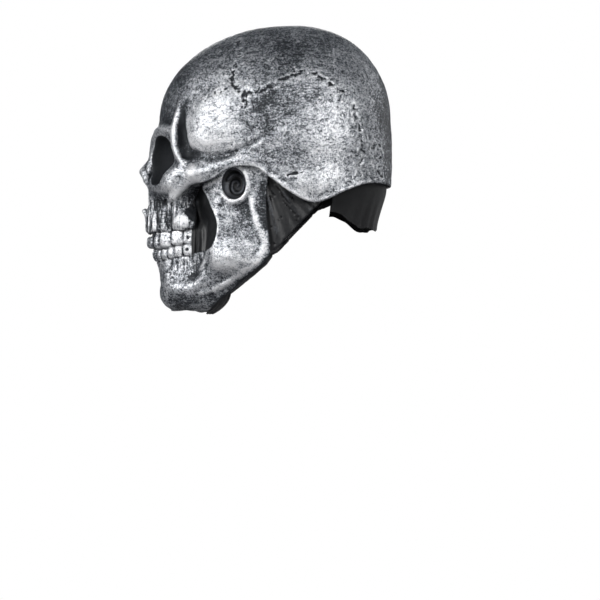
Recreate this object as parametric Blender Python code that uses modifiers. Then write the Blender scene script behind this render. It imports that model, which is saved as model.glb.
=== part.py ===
"""Over-the-head latex skull mask with a moving jaw.

The mask is an assembly of thin cast skins, foam pads, mesh screens and straps. +Z is up, the
face looks towards -Y and the wearer's left is +X. The origin is the middle of the wearer's head,
at the height of the ear holes. Lengths are written in millimetres and scaled to metres once,
where a mesh is made.
"""
import math

import bmesh
import bpy
from mathutils import Matrix, Vector

MM = 0.001

# Driving dimensions, in millimetres.
SKIN = 2.5                      # thickness of the cast latex
GAP = 0.4                       # clearance between neighbouring pieces
DOME_Z = 50.0                   # height of the widest level of the cranium
CROWN_Z = 137.6                 # top of the mask
CROWN_Y = 23.0                  # where the top lies, front to back
SKULL_LOW_Z = -75.0             # pole of the skull form, below the trimmed gum edge
GUM_Z = -54.0                   # lower edge of the skull casting at the upper teeth
BITE_Z = -68.5                  # level where the upper and lower teeth meet
JAW_RIM_Z = -80.0               # upper edge of the jaw casting at the lower teeth
JAW_MID_Z = -40.0               # middle level of the jaw form
JAW_TOP_Z = 45.0                # pole of the jaw form, above the trimmed lugs
CHIN_LOW_Z = -127.5             # lowest point of the chin
HINGE_Y = -8.0                  # jaw pivot, front to back
HINGE_Z = 11.0                  # jaw pivot, height
HINGE_X = 65.2                  # outer face of the jaw lug at the pivot
ORBIT = (34.0, -97.0, 10.5)     # middle of the left eye socket
ORBIT_RADII = (21.0, 20.5)      # half width and half height of an eye socket
EAR = (62.0, -27.3, -11.5)      # middle of the left ear hole
EAR_RADII = (11.0, 13.6)        # half length and half height of an ear hole
RIVET_SHANK_R = 2.5
RIVET_HEAD_R = 6.0
UPPER_TEETH = 12                # teeth in the upper row
LOWER_TEETH = 14                # teeth in the lower row
LAST_TOOTH_Y = -68.0            # how far back the tooth rows reach
SCREEN = 0.8                    # thickness of the mesh screens
SCREEN_LAP = 4.0                # how far a screen laps over the edge of its hole
SKIRT = 2.0                     # thickness of the neck skins
CUP = 1.6                       # thickness of the ear cups
CUP_DEPTH = 7.0
CLOTH = 1.2                     # thickness of the nape cloth
TAPE = 1.0                      # thickness of the tape that holds it
STRAP = 1.2                     # thickness of the chin elastic
STRAP_WIDTH = 7.0
CHIN_FOAM = 4.0
CROWN_FOAM, BROW_FOAM, OCCIPUT_FOAM = 9.0, 7.0, 8.0

# Each station of a form: height, front, back, level of greatest width, half width, fullness.
SKULL_STATIONS = [
    (DOME_Z, -98.5, 115.5, 25.0, 84.0, 2.3),
    (27.0, -107.0, 116.8, 25.0, 83.0, 2.3),
    (10.0, -108.5, 116.8, 25.0, 79.5, 2.3),
    (-12.0, -108.5, 116.3, 25.0, 76.0, 2.3),
    (-30.0, -108.5, 113.0, 25.0, 72.0, 2.4),
    (GUM_Z, -110.0, 105.0, 25.0, 66.0, 2.4),
    (SKULL_LOW_Z, -108.0, 90.0, 25.0, 60.0, 2.4),
]
JAW_STATIONS = [
    (JAW_TOP_Z, -104.0, 118.0, 15.0, 68.0, 2.4),
    (0.0, -104.0, 118.0, 15.0, 65.5, 2.4),
    (-50.0, -104.5, 116.0, 15.0, 60.5, 2.4),
    (JAW_RIM_Z, -104.0, 112.0, 15.0, 57.5, 2.5),
    (-97.0, -98.5, 100.0, 12.0, 47.0, 3.0),
    (-111.0, -97.0, 80.0, 0.0, 38.0, 3.6),
    (-120.0, -91.0, 30.0, -25.0, 31.0, 3.2),
    (-124.5, -79.0, -20.0, -50.0, 24.0, 2.6),
    (CHIN_LOW_Z, -62.0, -58.0, -60.0, 4.0, 2.0),
]

# Raised (+) and hollow (-) areas on the side of the skull: y, z, spread y, spread z, height.
SIDE_RELIEF = [
    (-74.0, 0.0, 13.0, 10.0, 4.5),      # cheekbone
    (-35.0, 6.0, 26.0, 7.0, 2.5),       # cheek arch
    (-70.0, 27.0, 8.0, 16.0, -6.0),     # hollow behind the outer rim of the socket
    (-37.0, 46.0, 20.0, 20.0, 3.0),     # temple muscle
]
# Raised areas on the front midline: z, spread x, spread z, height.
FRONT_RELIEF = [
    (4.0, 8.0, 7.0, 12.0),              # nose bones
    (-33.0, 7.0, 5.0, 5.0),             # spine below the nose opening
    (38.0, 30.0, 9.0, 2.0),             # brow
]

# Side-view outlines, as (y, z).
SKULL_OUTLINE = [
    (-130, 145), (-130, GUM_Z), (-95, GUM_Z), (-65, -51), (-62, -40), (-61, -18),
    (-46.8, -7.2), (-34.3, -1.4), (-23, 2), (-11.9, 3.1), (-2.6, 0), (5.3, -7.2), (16.5, -16.1),
    (27.9, -24), (39.2, -29.5), (47, -30), (56.5, -27), (70, -20), (84, -14.2), (92, -11.6),
    (103, -10.8), (130, -12.6), (130, 145),
]
JAW_OUTLINE = [
    (-130, -135), (-130, JAW_RIM_Z), (-67, JAW_RIM_Z), (-64, -76), (-54, -73), (-45.4, -64.7),
    (-42.9, -55.4), (-42.9, -46.4), (-49.8, -28.1), (-55, -16), (-54, -6), (-38, 2), (-24, 13),
    (-15, 20), (-1, 20), (5, 12), (4, -4), (0.4, -35), (2.9, -52.3), (4.8, -69.4), (4.7, -77.3),
    (-16.3, -96.4), (-48, -121.7), (-65, -135),
]
SKIRT_OUTLINE = [
    (-13, -76), (-12, -8), (8, 0), (30, -9), (50, -17), (55, -23), (45, -34.2), (27.9, -52.3),
    (6, -76),
]
NAPE_TOP = [(60, -26.4), (70, -21.4), (84, -15.4), (92, -12.6), (103, -11.8), (125, -13.6)]
NAPE_OUTLINE = NAPE_TOP + [(125, -52), (84, -51), (66, -42)]
NOSE_OUTLINE = [(0, -1), (6, -7), (12, -18), (12.5, -25), (9, -29), (3, -29), (0, -26)]


def smooth(value, start, end):
    """0 at start, 1 at end, with a smooth step between."""
    share = min(1.0, max(0.0, (value - start) / (end - start)))
    return share * share * (3 - 2 * share)


def station(stations, z):
    """The front, back, widest level, half width and fullness of a form at height z."""
    for upper, lower in zip(stations, stations[1:]):
        if z >= lower[0]:
            break
    share = smooth(z, lower[0], upper[0])
    return [low + (high - low) * share for low, high in zip(lower[1:], upper[1:])]


def outline_point(angle, front, back, wide, half_width, power, size=1.0):
    """A point of a level's rounded outline. The angle is 0 at the front and grows to the left."""
    across = math.copysign(abs(math.sin(angle)) ** (2 / power), math.sin(angle))
    along = math.copysign(abs(math.cos(angle)) ** (2 / power), math.cos(angle))
    reach = wide - front if along > 0 else back - wide
    return half_width * across * size, wide - reach * along * size


def relief(x, y, z):
    """How far the skull's sculpted areas move a point of the plain form."""
    side = sum(height * math.exp(-((y - at_y) / dy) ** 2 - ((z - at_z) / dz) ** 2)
               for at_y, at_z, dy, dz, height in SIDE_RELIEF)
    front = sum(height * math.exp(-(x / dx) ** 2 - ((z - at_z) / dz) ** 2)
                for at_z, dx, dz, height in FRONT_RELIEF)
    x += math.copysign(side * smooth(abs(x), 20, 45), x)
    y -= front * smooth(y, -60, -90)
    return x, y


def skull_point(angle, level):
    """The skull form at a longitude and at a level from -1, its lower pole, to 1, its crown."""
    ring = math.sqrt(max(0.0, 1 - level * level))
    if level >= 0:
        z = DOME_Z + (CROWN_Z - DOME_Z) * level
        front, back, wide, half_width, power = station(SKULL_STATIONS, DOME_Z)
        x, y = outline_point(angle, CROWN_Y - (CROWN_Y - front) * ring,
                             CROWN_Y + (back - CROWN_Y) * ring ** 0.88,
                             CROWN_Y + (wide - CROWN_Y) * ring, half_width * ring ** 0.9, power)
    else:
        z = DOME_Z + (DOME_Z - SKULL_LOW_Z) * level
        size = min(1.0, 2.2 * ring)
        x, y = outline_point(angle, *station(SKULL_STATIONS, z), size)
        x *= 1 - 0.40 * smooth(z, -8, -30) * smooth(y, -40, -66)
    x, y = relief(x, y, z)
    return Vector((x, y, z))


def jaw_point(angle, level):
    """The jaw form at a longitude and at a level from -1, below the chin, to 1, its top pole."""
    reach = (JAW_MID_Z - CHIN_LOW_Z) if level < 0 else (JAW_TOP_Z - JAW_MID_Z)
    z = JAW_MID_Z + reach * level
    size = min(1.0, 2.5 * math.sqrt(max(0.0, 1 - level * level))) if level > 0 else 1.0
    x, y = outline_point(angle, *station(JAW_STATIONS, z), size)
    x *= 1 - 0.30 * smooth(z, -102, -80) * smooth(y, -42, -68)
    return Vector((x, y, z))


def nape_point(angle, level):
    """The level outlines of the cloth that hangs below the rear rim."""
    z = -32 + 30 * level
    back = 113.4 - 6.5 * smooth(z, -14, -52)
    x, y = outline_point(angle, -90, back, 25, 66.5 - 3 * smooth(z, -14, -52), 2.3)
    return Vector((x, y, z))


def material(name, colour, roughness, metallic=0.0):
    found = bpy.data.materials.get(name)
    if found:
        return found
    made = bpy.data.materials.new(name)
    made.use_nodes = True
    shader = made.node_tree.nodes["Principled BSDF"]
    shader.inputs["Base Color"].default_value = (*colour, 1.0)
    shader.inputs["Roughness"].default_value = roughness
    shader.inputs["Metallic"].default_value = metallic
    made.diffuse_color = (*colour, 1.0)
    return made


def silver():
    return material("silver_latex", (0.34, 0.35, 0.37), 0.4, 0.8)


def dark_latex():
    return material("dark_latex", (0.03, 0.031, 0.034), 0.55)


def black_fabric():
    return material("black_fabric", (0.012, 0.012, 0.014), 0.85)


def foam():
    return material("grey_foam", (0.11, 0.11, 0.115), 0.95)


def add_object(name, bm, collection, finish=None):
    """Scales a millimetre mesh to metres and links it as an object."""
    bmesh.ops.scale(bm, vec=(MM, MM, MM), verts=bm.verts)
    bmesh.ops.recalc_face_normals(bm, faces=bm.faces)
    mesh = bpy.data.meshes.new(name)
    bm.to_mesh(mesh)
    bm.free()
    mesh.shade_smooth()
    mesh.set_sharp_from_angle(angle=math.radians(40))
    made = bpy.data.objects.new(name, mesh)
    collection.objects.link(made)
    if finish:
        mesh.materials.append(finish)
    return made


def cutter(name, bm):
    made = add_object(name, bm, CUTTERS)
    made.hide_render = True
    made.display_type = "WIRE"
    return made


def form_mesh(point, inset, segments, rings, warp=0.35):
    """A sphere drawn onto a form and set in from it, with finer spacing at the face."""
    bm = bmesh.new()
    bmesh.ops.create_uvsphere(bm, u_segments=segments, v_segments=rings, radius=1.0)
    for vert in bm.verts:
        angle = math.atan2(vert.co.x, -vert.co.y)
        vert.co = point(angle - warp * math.sin(angle), max(-1.0, min(1.0, vert.co.z)))
    bmesh.ops.recalc_face_normals(bm, faces=bm.faces)
    bm.normal_update()
    moved = [vert.co - vert.normal * inset for vert in bm.verts]
    for vert, co in zip(bm.verts, moved):
        vert.co = co
    return bm


def side_prism(name, outline, low_x, high_x):
    """A side-view outline drawn out from low_x to high_x."""
    bm = bmesh.new()
    face = bm.faces.new([bm.verts.new((low_x, y, z)) for y, z in outline])
    drawn = bmesh.ops.extrude_face_region(bm, geom=[face])
    moved = [item for item in drawn["geom"] if isinstance(item, bmesh.types.BMVert)]
    bmesh.ops.translate(bm, vec=(high_x - low_x, 0, 0), verts=moved)
    return cutter(name, bm)


def front_prism(name, outline, near_y, far_y):
    """A front-view outline, given for the left half, drawn out from near_y to far_y."""
    whole = outline + [(-x, z) for x, z in reversed(outline) if x > 0]
    bm = bmesh.new()
    face = bm.faces.new([bm.verts.new((x, near_y, z)) for x, z in whole])
    drawn = bmesh.ops.extrude_face_region(bm, geom=[face])
    moved = [item for item in drawn["geom"] if isinstance(item, bmesh.types.BMVert)]
    bmesh.ops.translate(bm, vec=(0, far_y - near_y, 0), verts=moved)
    return cutter(name, bm)


def drum(name, middle, radii, half_length, turn, segments=28):
    """An oval cylinder whose own axis, Z, is turned by the given matrix."""
    bm = bmesh.new()
    bmesh.ops.create_cone(bm, cap_ends=True, segments=segments, radius1=1.0, radius2=1.0,
                          depth=2.0)
    bmesh.ops.scale(bm, vec=(radii[0], radii[1], half_length), verts=bm.verts)
    bmesh.ops.transform(bm, matrix=Matrix.Translation(middle) @ turn, verts=bm.verts)
    return cutter(name, bm)


def boolean(piece, tool, operation):
    modifier = piece.modifiers.new(tool.name, "BOOLEAN")
    modifier.object = tool
    modifier.operation = operation


def skin(name, point, inset, thickness, finish, keep, cuts=(), segments=44, rings=30):
    """A form's surface, set in and thickened inwards, kept inside some cutters and cut by others."""
    made = add_object(name, form_mesh(point, inset, segments, rings), PARTS, finish)
    shell = made.modifiers.new("thickness", "SOLIDIFY")
    shell.thickness = thickness * MM
    shell.offset = -1.0
    for tool in keep:
        boolean(made, tool, "INTERSECT")
    for tool in cuts:
        boolean(made, tool, "DIFFERENCE")
    return made


def loft(name, sections, finish):
    """A closed solid through sections that each have the same number of points."""
    bm = bmesh.new()
    rows = [[bm.verts.new(point) for point in section] for section in sections]
    count = len(rows[0])
    for row, following in zip(rows, rows[1:]):
        for index in range(count):
            after = (index + 1) % count
            bm.faces.new((row[index], row[after], following[after], following[index]))
    bm.faces.new(rows[0])
    bm.faces.new(rows[-1])
    return add_object(name, bm, PARTS, finish)


def sides():
    """The names and signs of the left and right side."""
    return (("left", 1), ("right", -1))


def orbit_turn(sign):
    """Turns a drum's axis to look out of an eye socket: forwards and a little outwards."""
    return Matrix.Rotation(math.radians(18 * sign), 4, "Z") @ Matrix.Rotation(math.pi / 2, 4, "X")


def build_skull():
    trim = side_prism("skull_trim", SKULL_OUTLINE, -100, 100)
    holes = [drum(f"orbit_hole_{side}", Vector((ORBIT[0] * sign, ORBIT[1], ORBIT[2])),
                  ORBIT_RADII, 18, orbit_turn(sign)) for side, sign in sides()]
    holes.append(front_prism("nose_hole", NOSE_OUTLINE, -130, -85))
    skin("skull_shell", skull_point, 0, SKIN, silver(), [trim], holes)


def build_screens():
    """Mesh screens behind the eye sockets and the nose, each wider than its hole all round."""
    for side, sign in sides():
        keep = drum(f"eye_mesh_trim_{side}", Vector((ORBIT[0] * sign, ORBIT[1], ORBIT[2])),
                    (ORBIT_RADII[0] + SCREEN_LAP, ORBIT_RADII[1] + SCREEN_LAP), 22, orbit_turn(sign))
        skin(f"eye_mesh_{side}", skull_point, SKIN + 2 * GAP, SCREEN, black_fabric(), [keep])
    wider = [(x + SCREEN_LAP if x else 0, z + (SCREEN_LAP if z > -15 else -SCREEN_LAP))
             for x, z in NOSE_OUTLINE]
    wider[-1] = (0, NOSE_OUTLINE[-1][1] - 2 * SCREEN_LAP)
    keep = front_prism("nose_mesh_trim", wider, -130, -70)
    skin("nose_mesh", skull_point, SKIN + 3 * GAP, SCREEN, black_fabric(), [keep])


def build_jaw():
    trim = side_prism("jaw_trim", JAW_OUTLINE, -100, 100)
    turn = Matrix.Rotation(math.pi / 2, 4, "Y")
    cuts = []
    for side, sign in sides():
        middle = Vector((EAR[0] * sign, EAR[1], EAR[2]))
        cuts.append(drum(f"ear_hole_{side}", middle, (EAR_RADII[1], EAR_RADII[0]), 20, turn))
        pivot = Vector((HINGE_X * sign, HINGE_Y, HINGE_Z))
        radius = RIVET_SHANK_R + GAP
        cuts.append(drum(f"pivot_hole_{side}", pivot, (radius, radius), 12, turn, 20))
    skin("jaw_shell", jaw_point, 0, SKIN, silver(), [trim], cuts, 40, 30)


def build_ear_cups():
    """Shallow dishes glued behind the ear holes, open to the outside."""
    for side, sign in sides():
        bm = bmesh.new()
        bmesh.ops.create_uvsphere(bm, u_segments=20, v_segments=8, radius=1.0)
        half = [vert for vert in bm.verts if vert.co.z > 0.01]
        bmesh.ops.delete(bm, geom=half, context="VERTS")
        for vert in bm.verts:
            depth = -CUP_DEPTH * vert.co.z
            vert.co = Vector((-depth * sign, vert.co.y * (EAR_RADII[0] + 2.5),
                              vert.co.x * (EAR_RADII[1] + 2.5)))
        bmesh.ops.translate(bm, vec=((EAR[0] - CUP_DEPTH - 0.2) * sign, EAR[1], EAR[2]), verts=bm.verts)
        made = add_object(f"ear_cup_{side}", bm, PARTS, dark_latex())
        wall = made.modifiers.new("thickness", "SOLIDIFY")
        wall.thickness = CUP * MM
        wall.offset = 0


def arch_angles(point, level_z, last_y, count, level_of):
    """Angles that divide a form's front, at one height and as far back as last_y, evenly."""
    level = level_of(level_z)
    fine = [math.pi * 0.6 * step / 400 for step in range(401)]
    line = [point(angle, level) for angle in fine]
    lengths = [0.0]
    for near, far in zip(line, line[1:]):
        if far.y > last_y:
            break
        lengths.append(lengths[-1] + (far - near).length)
    angles = []
    for index in range(count + 1):
        target = lengths[-1] * index / count
        place = next(i for i, length in enumerate(lengths) if length >= target - 1e-9)
        angles.append(fine[place])
    return [-angle for angle in reversed(angles[1:])] + angles


def skull_level(z):
    return (z - DOME_Z) / (DOME_Z - SKULL_LOW_Z)


def jaw_level(z):
    return (z - JAW_MID_Z) / (JAW_MID_Z - CHIN_LOW_Z)


def tooth_row(name, point, level_of, rim_z, crown_z, tuck_z, teeth):
    """A strip of teeth below or above a casting's rim, with a flange tucked behind the rim."""
    per_tooth = 4
    angles = arch_angles(point, rim_z, LAST_TOOTH_Y, teeth * per_tooth // 2, level_of)
    away = math.copysign(GAP, crown_z - rim_z)
    middle = (rim_z + crown_z) / 2
    behind = SKIN + 4 * GAP
    profile = [(0.6, rim_z + away), (0.0, middle), (1.2, crown_z), (5.5, crown_z), (7.0, tuck_z),
               (behind, tuck_z), (behind, rim_z + away)]
    sections = []
    for index, angle in enumerate(angles):
        here = point(angle, level_of(rim_z))
        step = point(angle + 0.01, level_of(rim_z)) - point(angle - 0.01, level_of(rim_z))
        inward = Vector((-step.y, step.x, 0)).normalized()
        notch = 1.4 if index % per_tooth == 0 else 0.0
        section = []
        for place, (depth, z) in enumerate(profile):
            extra = notch if place < 3 else 0.0
            spot = here + inward * (depth + extra)
            section.append((spot.x, spot.y, z))
        sections.append(section)
    loft(name, sections, material("tooth_latex", (0.42, 0.43, 0.45), 0.45, 0.6))


def build_teeth():
    tooth_row("upper_teeth", skull_point, skull_level, GUM_Z, BITE_Z + GAP, GUM_Z + 7, UPPER_TEETH)
    tooth_row("lower_teeth", jaw_point, jaw_level, JAW_RIM_Z, BITE_Z - GAP, JAW_RIM_Z - 4, LOWER_TEETH)


def build_gussets():
    """Soft folded skins that close the gap between the upper face and the ramus."""
    for side, sign in sides():
        sections = []
        for step in range(9):
            share = step / 8
            z = -14 - 62 * share
            fold = 1.5 * math.sin(share * math.pi * 3)
            front = Vector((sign * (30 - 3 * share), -65.5, z))
            middle = Vector((sign * (38 - 2 * share + fold), -55, z))
            rear = Vector((sign * (48 - 3 * share), -38 - 6 * share, z))
            inner = Vector((-sign * 1.4, 0.6, 0))
            sections.append([front, middle, rear, rear + inner, middle + inner, front + inner])
        loft(f"cheek_gusset_{side}", sections, dark_latex())


def half_box(name, outline, side, sign):
    low, high = (5, 100) if sign > 0 else (-100, -5)
    return side_prism(f"{name}_{side}", outline, low, high)


def build_skirts():
    for side, sign in sides():
        keep = half_box("skirt_trim", SKIRT_OUTLINE, side, sign)
        skin(f"neck_skirt_{side}", jaw_point, SKIN + GAP, SKIRT, dark_latex(), [keep],
             segments=40, rings=28)


def build_nape():
    keep = side_prism("nape_trim", NAPE_OUTLINE, -90, 90)
    skin("nape_panel", nape_point, 0, CLOTH, black_fabric(), [keep], segments=64, rings=12)
    band = [(y, z + 3.0) for y, z in NAPE_TOP]
    raised = [(y, z + 13.0) for y, z in reversed(NAPE_TOP)]
    keep = side_prism("nape_tape_trim", band + raised, -90, 90)
    skin("nape_seam_tape", skull_point, SKIN + GAP, TAPE, black_fabric(), [keep], rings=30)


def build_pads():
    """Foam pads glued to the inside of the skull casting."""
    up = Matrix.Identity(4)
    places = [("crown_pad", Vector((0, 22, 120)), (36, 44), 30, up, CROWN_FOAM),
              ("brow_pad", Vector((0, -80, 62)), (42, 13), 32,
               Matrix.Rotation(math.pi / 2, 4, "X"), BROW_FOAM),
              ("occiput_pad", Vector((0, 95, 50)), (38, 32), 32,
               Matrix.Rotation(math.pi / 2, 4, "X"), OCCIPUT_FOAM)]
    for name, middle, radii, half_length, turn, thickness in places:
        keep = drum(f"{name}_trim", middle, radii, half_length, turn)
        skin(name, skull_point, SKIN + 2 * GAP, thickness, foam(), [keep], segments=32, rings=24)


def build_chin():
    keep = drum("chin_cup_trim", Vector((0, -80, -111)), (22, 15), 26,
                Matrix.Rotation(math.radians(55), 4, "X"))
    skin("chin_cup", jaw_point, SKIN + GAP, CHIN_FOAM, foam(), [keep], segments=40, rings=30)
    sections = []
    for step in range(17):
        angle = math.pi * step / 16
        x = 34.0 * math.cos(angle)
        z = -104.0 - 25.0 * math.sin(angle)
        y = -37.0 - 15.0 * math.sin(angle) ** 2.6
        inward = Vector((-math.cos(angle), 0, math.sin(angle))) * STRAP
        edge = Vector((0, STRAP_WIDTH / 2, 0))
        spot = Vector((x, y, z))
        sections.append([spot - edge, spot + edge, spot + edge + inward, spot - edge + inward])
    loft("chin_strap", sections, black_fabric())


def turned(name, profile, place, sign, finish):
    """A profile of (radius, height) turned about X, closed on itself where it has a bore."""
    bm = bmesh.new()
    points = [bm.verts.new((radius * MM, 0, height * MM)) for radius, height in profile]
    for near, far in zip(points, points[1:]):
        bm.edges.new((near, far))
    if profile[0][0] > 0:
        bm.edges.new((points[-1], points[0]))
    mesh = bpy.data.meshes.new(name)
    bm.to_mesh(mesh)
    bm.free()
    made = bpy.data.objects.new(name, mesh)
    PARTS.objects.link(made)
    mesh.materials.append(finish)
    made.location = place * MM
    made.rotation_euler = (0, math.radians(90 * sign), 0)
    spin = made.modifiers.new("turn", "SCREW")
    spin.steps = 24
    spin.render_steps = 24
    spin.use_merge_vertices = True
    spin.merge_threshold = 1e-5
    return made


def build_pivots():
    """Snap rivets held by the skull casting, and the washers between it and the jaw lugs."""
    head, shank = RIVET_HEAD_R, RIVET_SHANK_R
    rivet = [(0, 8.8), (head + 1, 8.8), (head + 1, 7.6), (head - 1.5, 7.6), (head - 1.5, 2.8),
             (shank, 2.8), (shank, -4.6), (head - 1, -4.6), (head - 1, -5.6), (0, -6.4)]
    washer = [(shank + GAP, 2.4), (head + 1, 2.4), (head + 1, 1.4), (shank + GAP, 1.4)]
    for side, sign in sides():
        place = Vector((HINGE_X * sign, HINGE_Y, HINGE_Z))
        turned(f"jaw_rivet_{side}", rivet, place, sign,
               material("rivet_steel", (0.05, 0.05, 0.055), 0.4, 1.0))
        turned(f"pivot_washer_{side}", washer, place, sign,
               material("washer_nylon", (0.02, 0.02, 0.02), 0.4))


def clear_scene():
    for found in list(bpy.data.objects):
        bpy.data.objects.remove(found, do_unlink=True)


def collection(name):
    made = bpy.data.collections.new(name)
    bpy.context.scene.collection.children.link(made)
    return made


clear_scene()
PARTS = collection("skull_mask")
CUTTERS = collection("cutters")
build_skull()
build_screens()
build_jaw()
build_ear_cups()
build_teeth()
build_gussets()
build_skirts()
build_nape()
build_pads()
build_chin()
build_pivots()
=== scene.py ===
"""Looks of the moving-jaw skull mask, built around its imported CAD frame.

The latex castings are sculpted as signed distances on a grid of one half of the head, in
millimetres, then mirrored, drawn as a surface and given their fine relief point by point.
The teeth, ear cups and foam pads are sculpted in the same way. The cheek skins, screens, cloth,
tape and elastic are sheets drawn by formula. Places are in the CAD's own frame: +Z up, the face
towards -Y, the wearer's left towards +X.
"""
import copy
import math

import bmesh
import bpy
import numpy as np
from mathutils import Matrix, Vector


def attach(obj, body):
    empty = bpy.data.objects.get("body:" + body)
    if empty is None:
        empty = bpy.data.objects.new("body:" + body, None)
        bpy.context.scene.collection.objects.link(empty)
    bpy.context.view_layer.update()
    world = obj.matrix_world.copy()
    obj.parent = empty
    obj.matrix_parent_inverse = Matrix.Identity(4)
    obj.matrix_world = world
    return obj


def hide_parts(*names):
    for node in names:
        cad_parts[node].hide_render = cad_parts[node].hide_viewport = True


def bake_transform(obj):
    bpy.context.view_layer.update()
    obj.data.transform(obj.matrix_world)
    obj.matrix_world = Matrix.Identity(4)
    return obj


MM = 0.001
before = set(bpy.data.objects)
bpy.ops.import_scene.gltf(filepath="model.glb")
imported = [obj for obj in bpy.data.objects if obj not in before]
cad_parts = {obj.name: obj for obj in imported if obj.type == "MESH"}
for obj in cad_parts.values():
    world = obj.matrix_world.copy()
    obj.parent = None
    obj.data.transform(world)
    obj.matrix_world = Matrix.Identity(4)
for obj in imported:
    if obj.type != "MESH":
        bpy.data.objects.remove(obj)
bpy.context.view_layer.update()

# ---------------------------------------------------------------- driving dimensions, in mm
SKIN = 2.6                  # thickness of the cast latex
CHEEK_SKIN = 1.4            # thickness of the folded cheek skins
NECK_SKIN = 2.0             # thickness of the neck skins
SCREEN = 0.5                # thickness of the screens
CLOTH = 0.9                 # thickness of the nape cloth
TAPE = 0.8                  # thickness of its seam tape
TAPE_WIDTH = 10.4
ELASTIC = 1.1               # thickness of the chin elastic
CROWN_FOAM = 9.0            # thicknesses of the foam pads
BROW_FOAM = 7.0
OCCIPUT_FOAM = 8.0
CHIN_FOAM = 4.5
SKULL_VOXEL = 1.35          # spacing of the skull's sculpting grid
VOXEL = 1.2                 # spacing of the jaw's sculpting grid
TOOTH_VOXEL = 0.7           # spacing of the grid of the small sculpted pieces
FOAM_VOXEL = 2.0            # spacing of the grid of the foam pads
INNER_CELL = 4.2            # coarseness of the castings' inner faces
DOME_Z = 50.0               # level of the cranium's greatest width
CROWN = (23.0, 137.6)       # y and z of the crown
WIDE_Y = 25.0               # how far back the head is widest
CHIN_LOW_Z = -127.5         # lowest point of the chin
ORBIT = (34.5, -99.0, 11.0)           # middle of the left eye socket
ORBIT_RADII = (21.8, 22.5, 21.6)
ORBIT_YAW = 17.0                      # how far a socket looks outwards, in degrees
ORBIT_POWER = 2.25                    # how square a socket is, 2 being round
EAR = (60.0, -27.3, -11.9)            # middle of the left ear hole
EAR_RADII = (10.7, 13.8)              # its half length and half height
PIVOT = (-8.0, 11.0)                  # y and z of the jaw's rivets
SEAM_REACH = 6.0                      # distances to cracks are measured up to this
GAP_SHARE = 0.08                      # the share of each crack that is left out
CRACK_DEPTH = 0.85
CRACK_LIP = 0.40                      # how high the lips beside a crack stand
GROOVE_DEPTH = 0.6                    # of the fine grooves round the teeth
MOULD_HEIGHT = 0.2                    # of the mould's parting line
SEED = 20


def curve(stations, at):
    """A smooth curve through (place, value) stations, without overshoot between them."""
    places, values = np.array(stations, dtype=float).T
    order = np.argsort(places)
    places, values = places[order], values[order]
    gaps = np.diff(places)
    slopes = np.diff(values) / gaps
    inner = np.where(slopes[:-1] * slopes[1:] > 0,
                     2 * slopes[:-1] * slopes[1:] / (slopes[:-1] + slopes[1:] + 1e-12), 0.0)
    tangents = np.concatenate(([slopes[0]], inner, [slopes[-1]]))
    at = np.clip(at, places[0], places[-1])
    index = np.clip(np.searchsorted(places, at) - 1, 0, len(gaps) - 1)
    gap = gaps[index]
    share = (at - places[index]) / gap
    square, cube = share ** 2, share ** 3
    return ((2 * cube - 3 * square + 1) * values[index]
            + (cube - 2 * square + share) * gap * tangents[index]
            + (3 * square - 2 * cube) * values[index + 1]
            + (cube - square) * gap * tangents[index + 1])


def smooth(value, start, end):
    """0 at start, 1 at end, with a smooth step between."""
    share = np.clip((value - start) / (end - start), 0.0, 1.0)
    return share * share * (3 - 2 * share)


def rotation(yaw=0.0, pitch=0.0, roll=0.0):
    """A turn in degrees: roll about Y, then pitch about X, then yaw about Z."""
    turn = (Matrix.Rotation(math.radians(yaw), 3, "Z") @ Matrix.Rotation(math.radians(pitch), 3, "X")
            @ Matrix.Rotation(math.radians(roll), 3, "Y"))
    return np.array(turn)


# ---------------------------------------------------------------- shapes to sculpt with
class Ball:
    """An ellipsoid, or with power above 2 a rounded block."""

    def __init__(self, centre, radii, turn=None, power=2.0):
        self.centre, self.radii, self.power = np.array(centre, float), np.array(radii, float), power
        self.turn = np.eye(3) if turn is None else turn
        reach = np.sqrt((self.turn ** 2) @ (self.radii ** 2)) * (1.0 if power <= 2 else 1.25)
        self.low, self.high = self.centre - reach, self.centre + reach

    def distance(self, x, y, z):
        cx, cy, cz = self.centre
        local = [self.turn[0, i] * (x - cx) + self.turn[1, i] * (y - cy) + self.turn[2, i] * (z - cz)
                 for i in range(3)]
        scaled = [np.abs(part / radius) for part, radius in zip(local, self.radii)]
        size = sum(part ** self.power for part in scaled) ** (1 / self.power) + 1e-9
        slope = np.sqrt(sum((part / radius) ** 2 for part, radius in zip(scaled, self.radii)))
        length = np.sqrt(sum(part ** 2 for part in scaled)) + 1e-9
        return (size - 1) * length / (slope + 1e-9)


class Rope:
    """A chain of round cones through (x, y, z, radius) points."""

    def __init__(self, points):
        self.points = np.array(points, float)
        spread = self.points[:, 3:4]
        self.low = (self.points[:, :3] - spread).min(axis=0)
        self.high = (self.points[:, :3] + spread).max(axis=0)

    def distance(self, x, y, z):
        best = None
        for near, far in zip(self.points, self.points[1:]):
            way = far[:3] - near[:3]
            px, py, pz = x - near[0], y - near[1], z - near[2]
            along = np.clip((px * way[0] + py * way[1] + pz * way[2]) / (way @ way), 0.0, 1.0)
            gap = np.sqrt((px - along * way[0]) ** 2 + (py - along * way[1]) ** 2
                          + (pz - along * way[2]) ** 2)
            found = gap - (near[3] + (far[3] - near[3]) * along)
            best = found if best is None else np.minimum(best, found)
        return best


def join(a, b, k):
    """The smaller of two distances, blended over k."""
    near = np.maximum(k - np.abs(a - b), 0.0) / k
    return np.minimum(a, b) - near * near * k * 0.25


def carve(a, b, k):
    """The larger of two distances, blended over k."""
    return -join(-a, -b, k)


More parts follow.
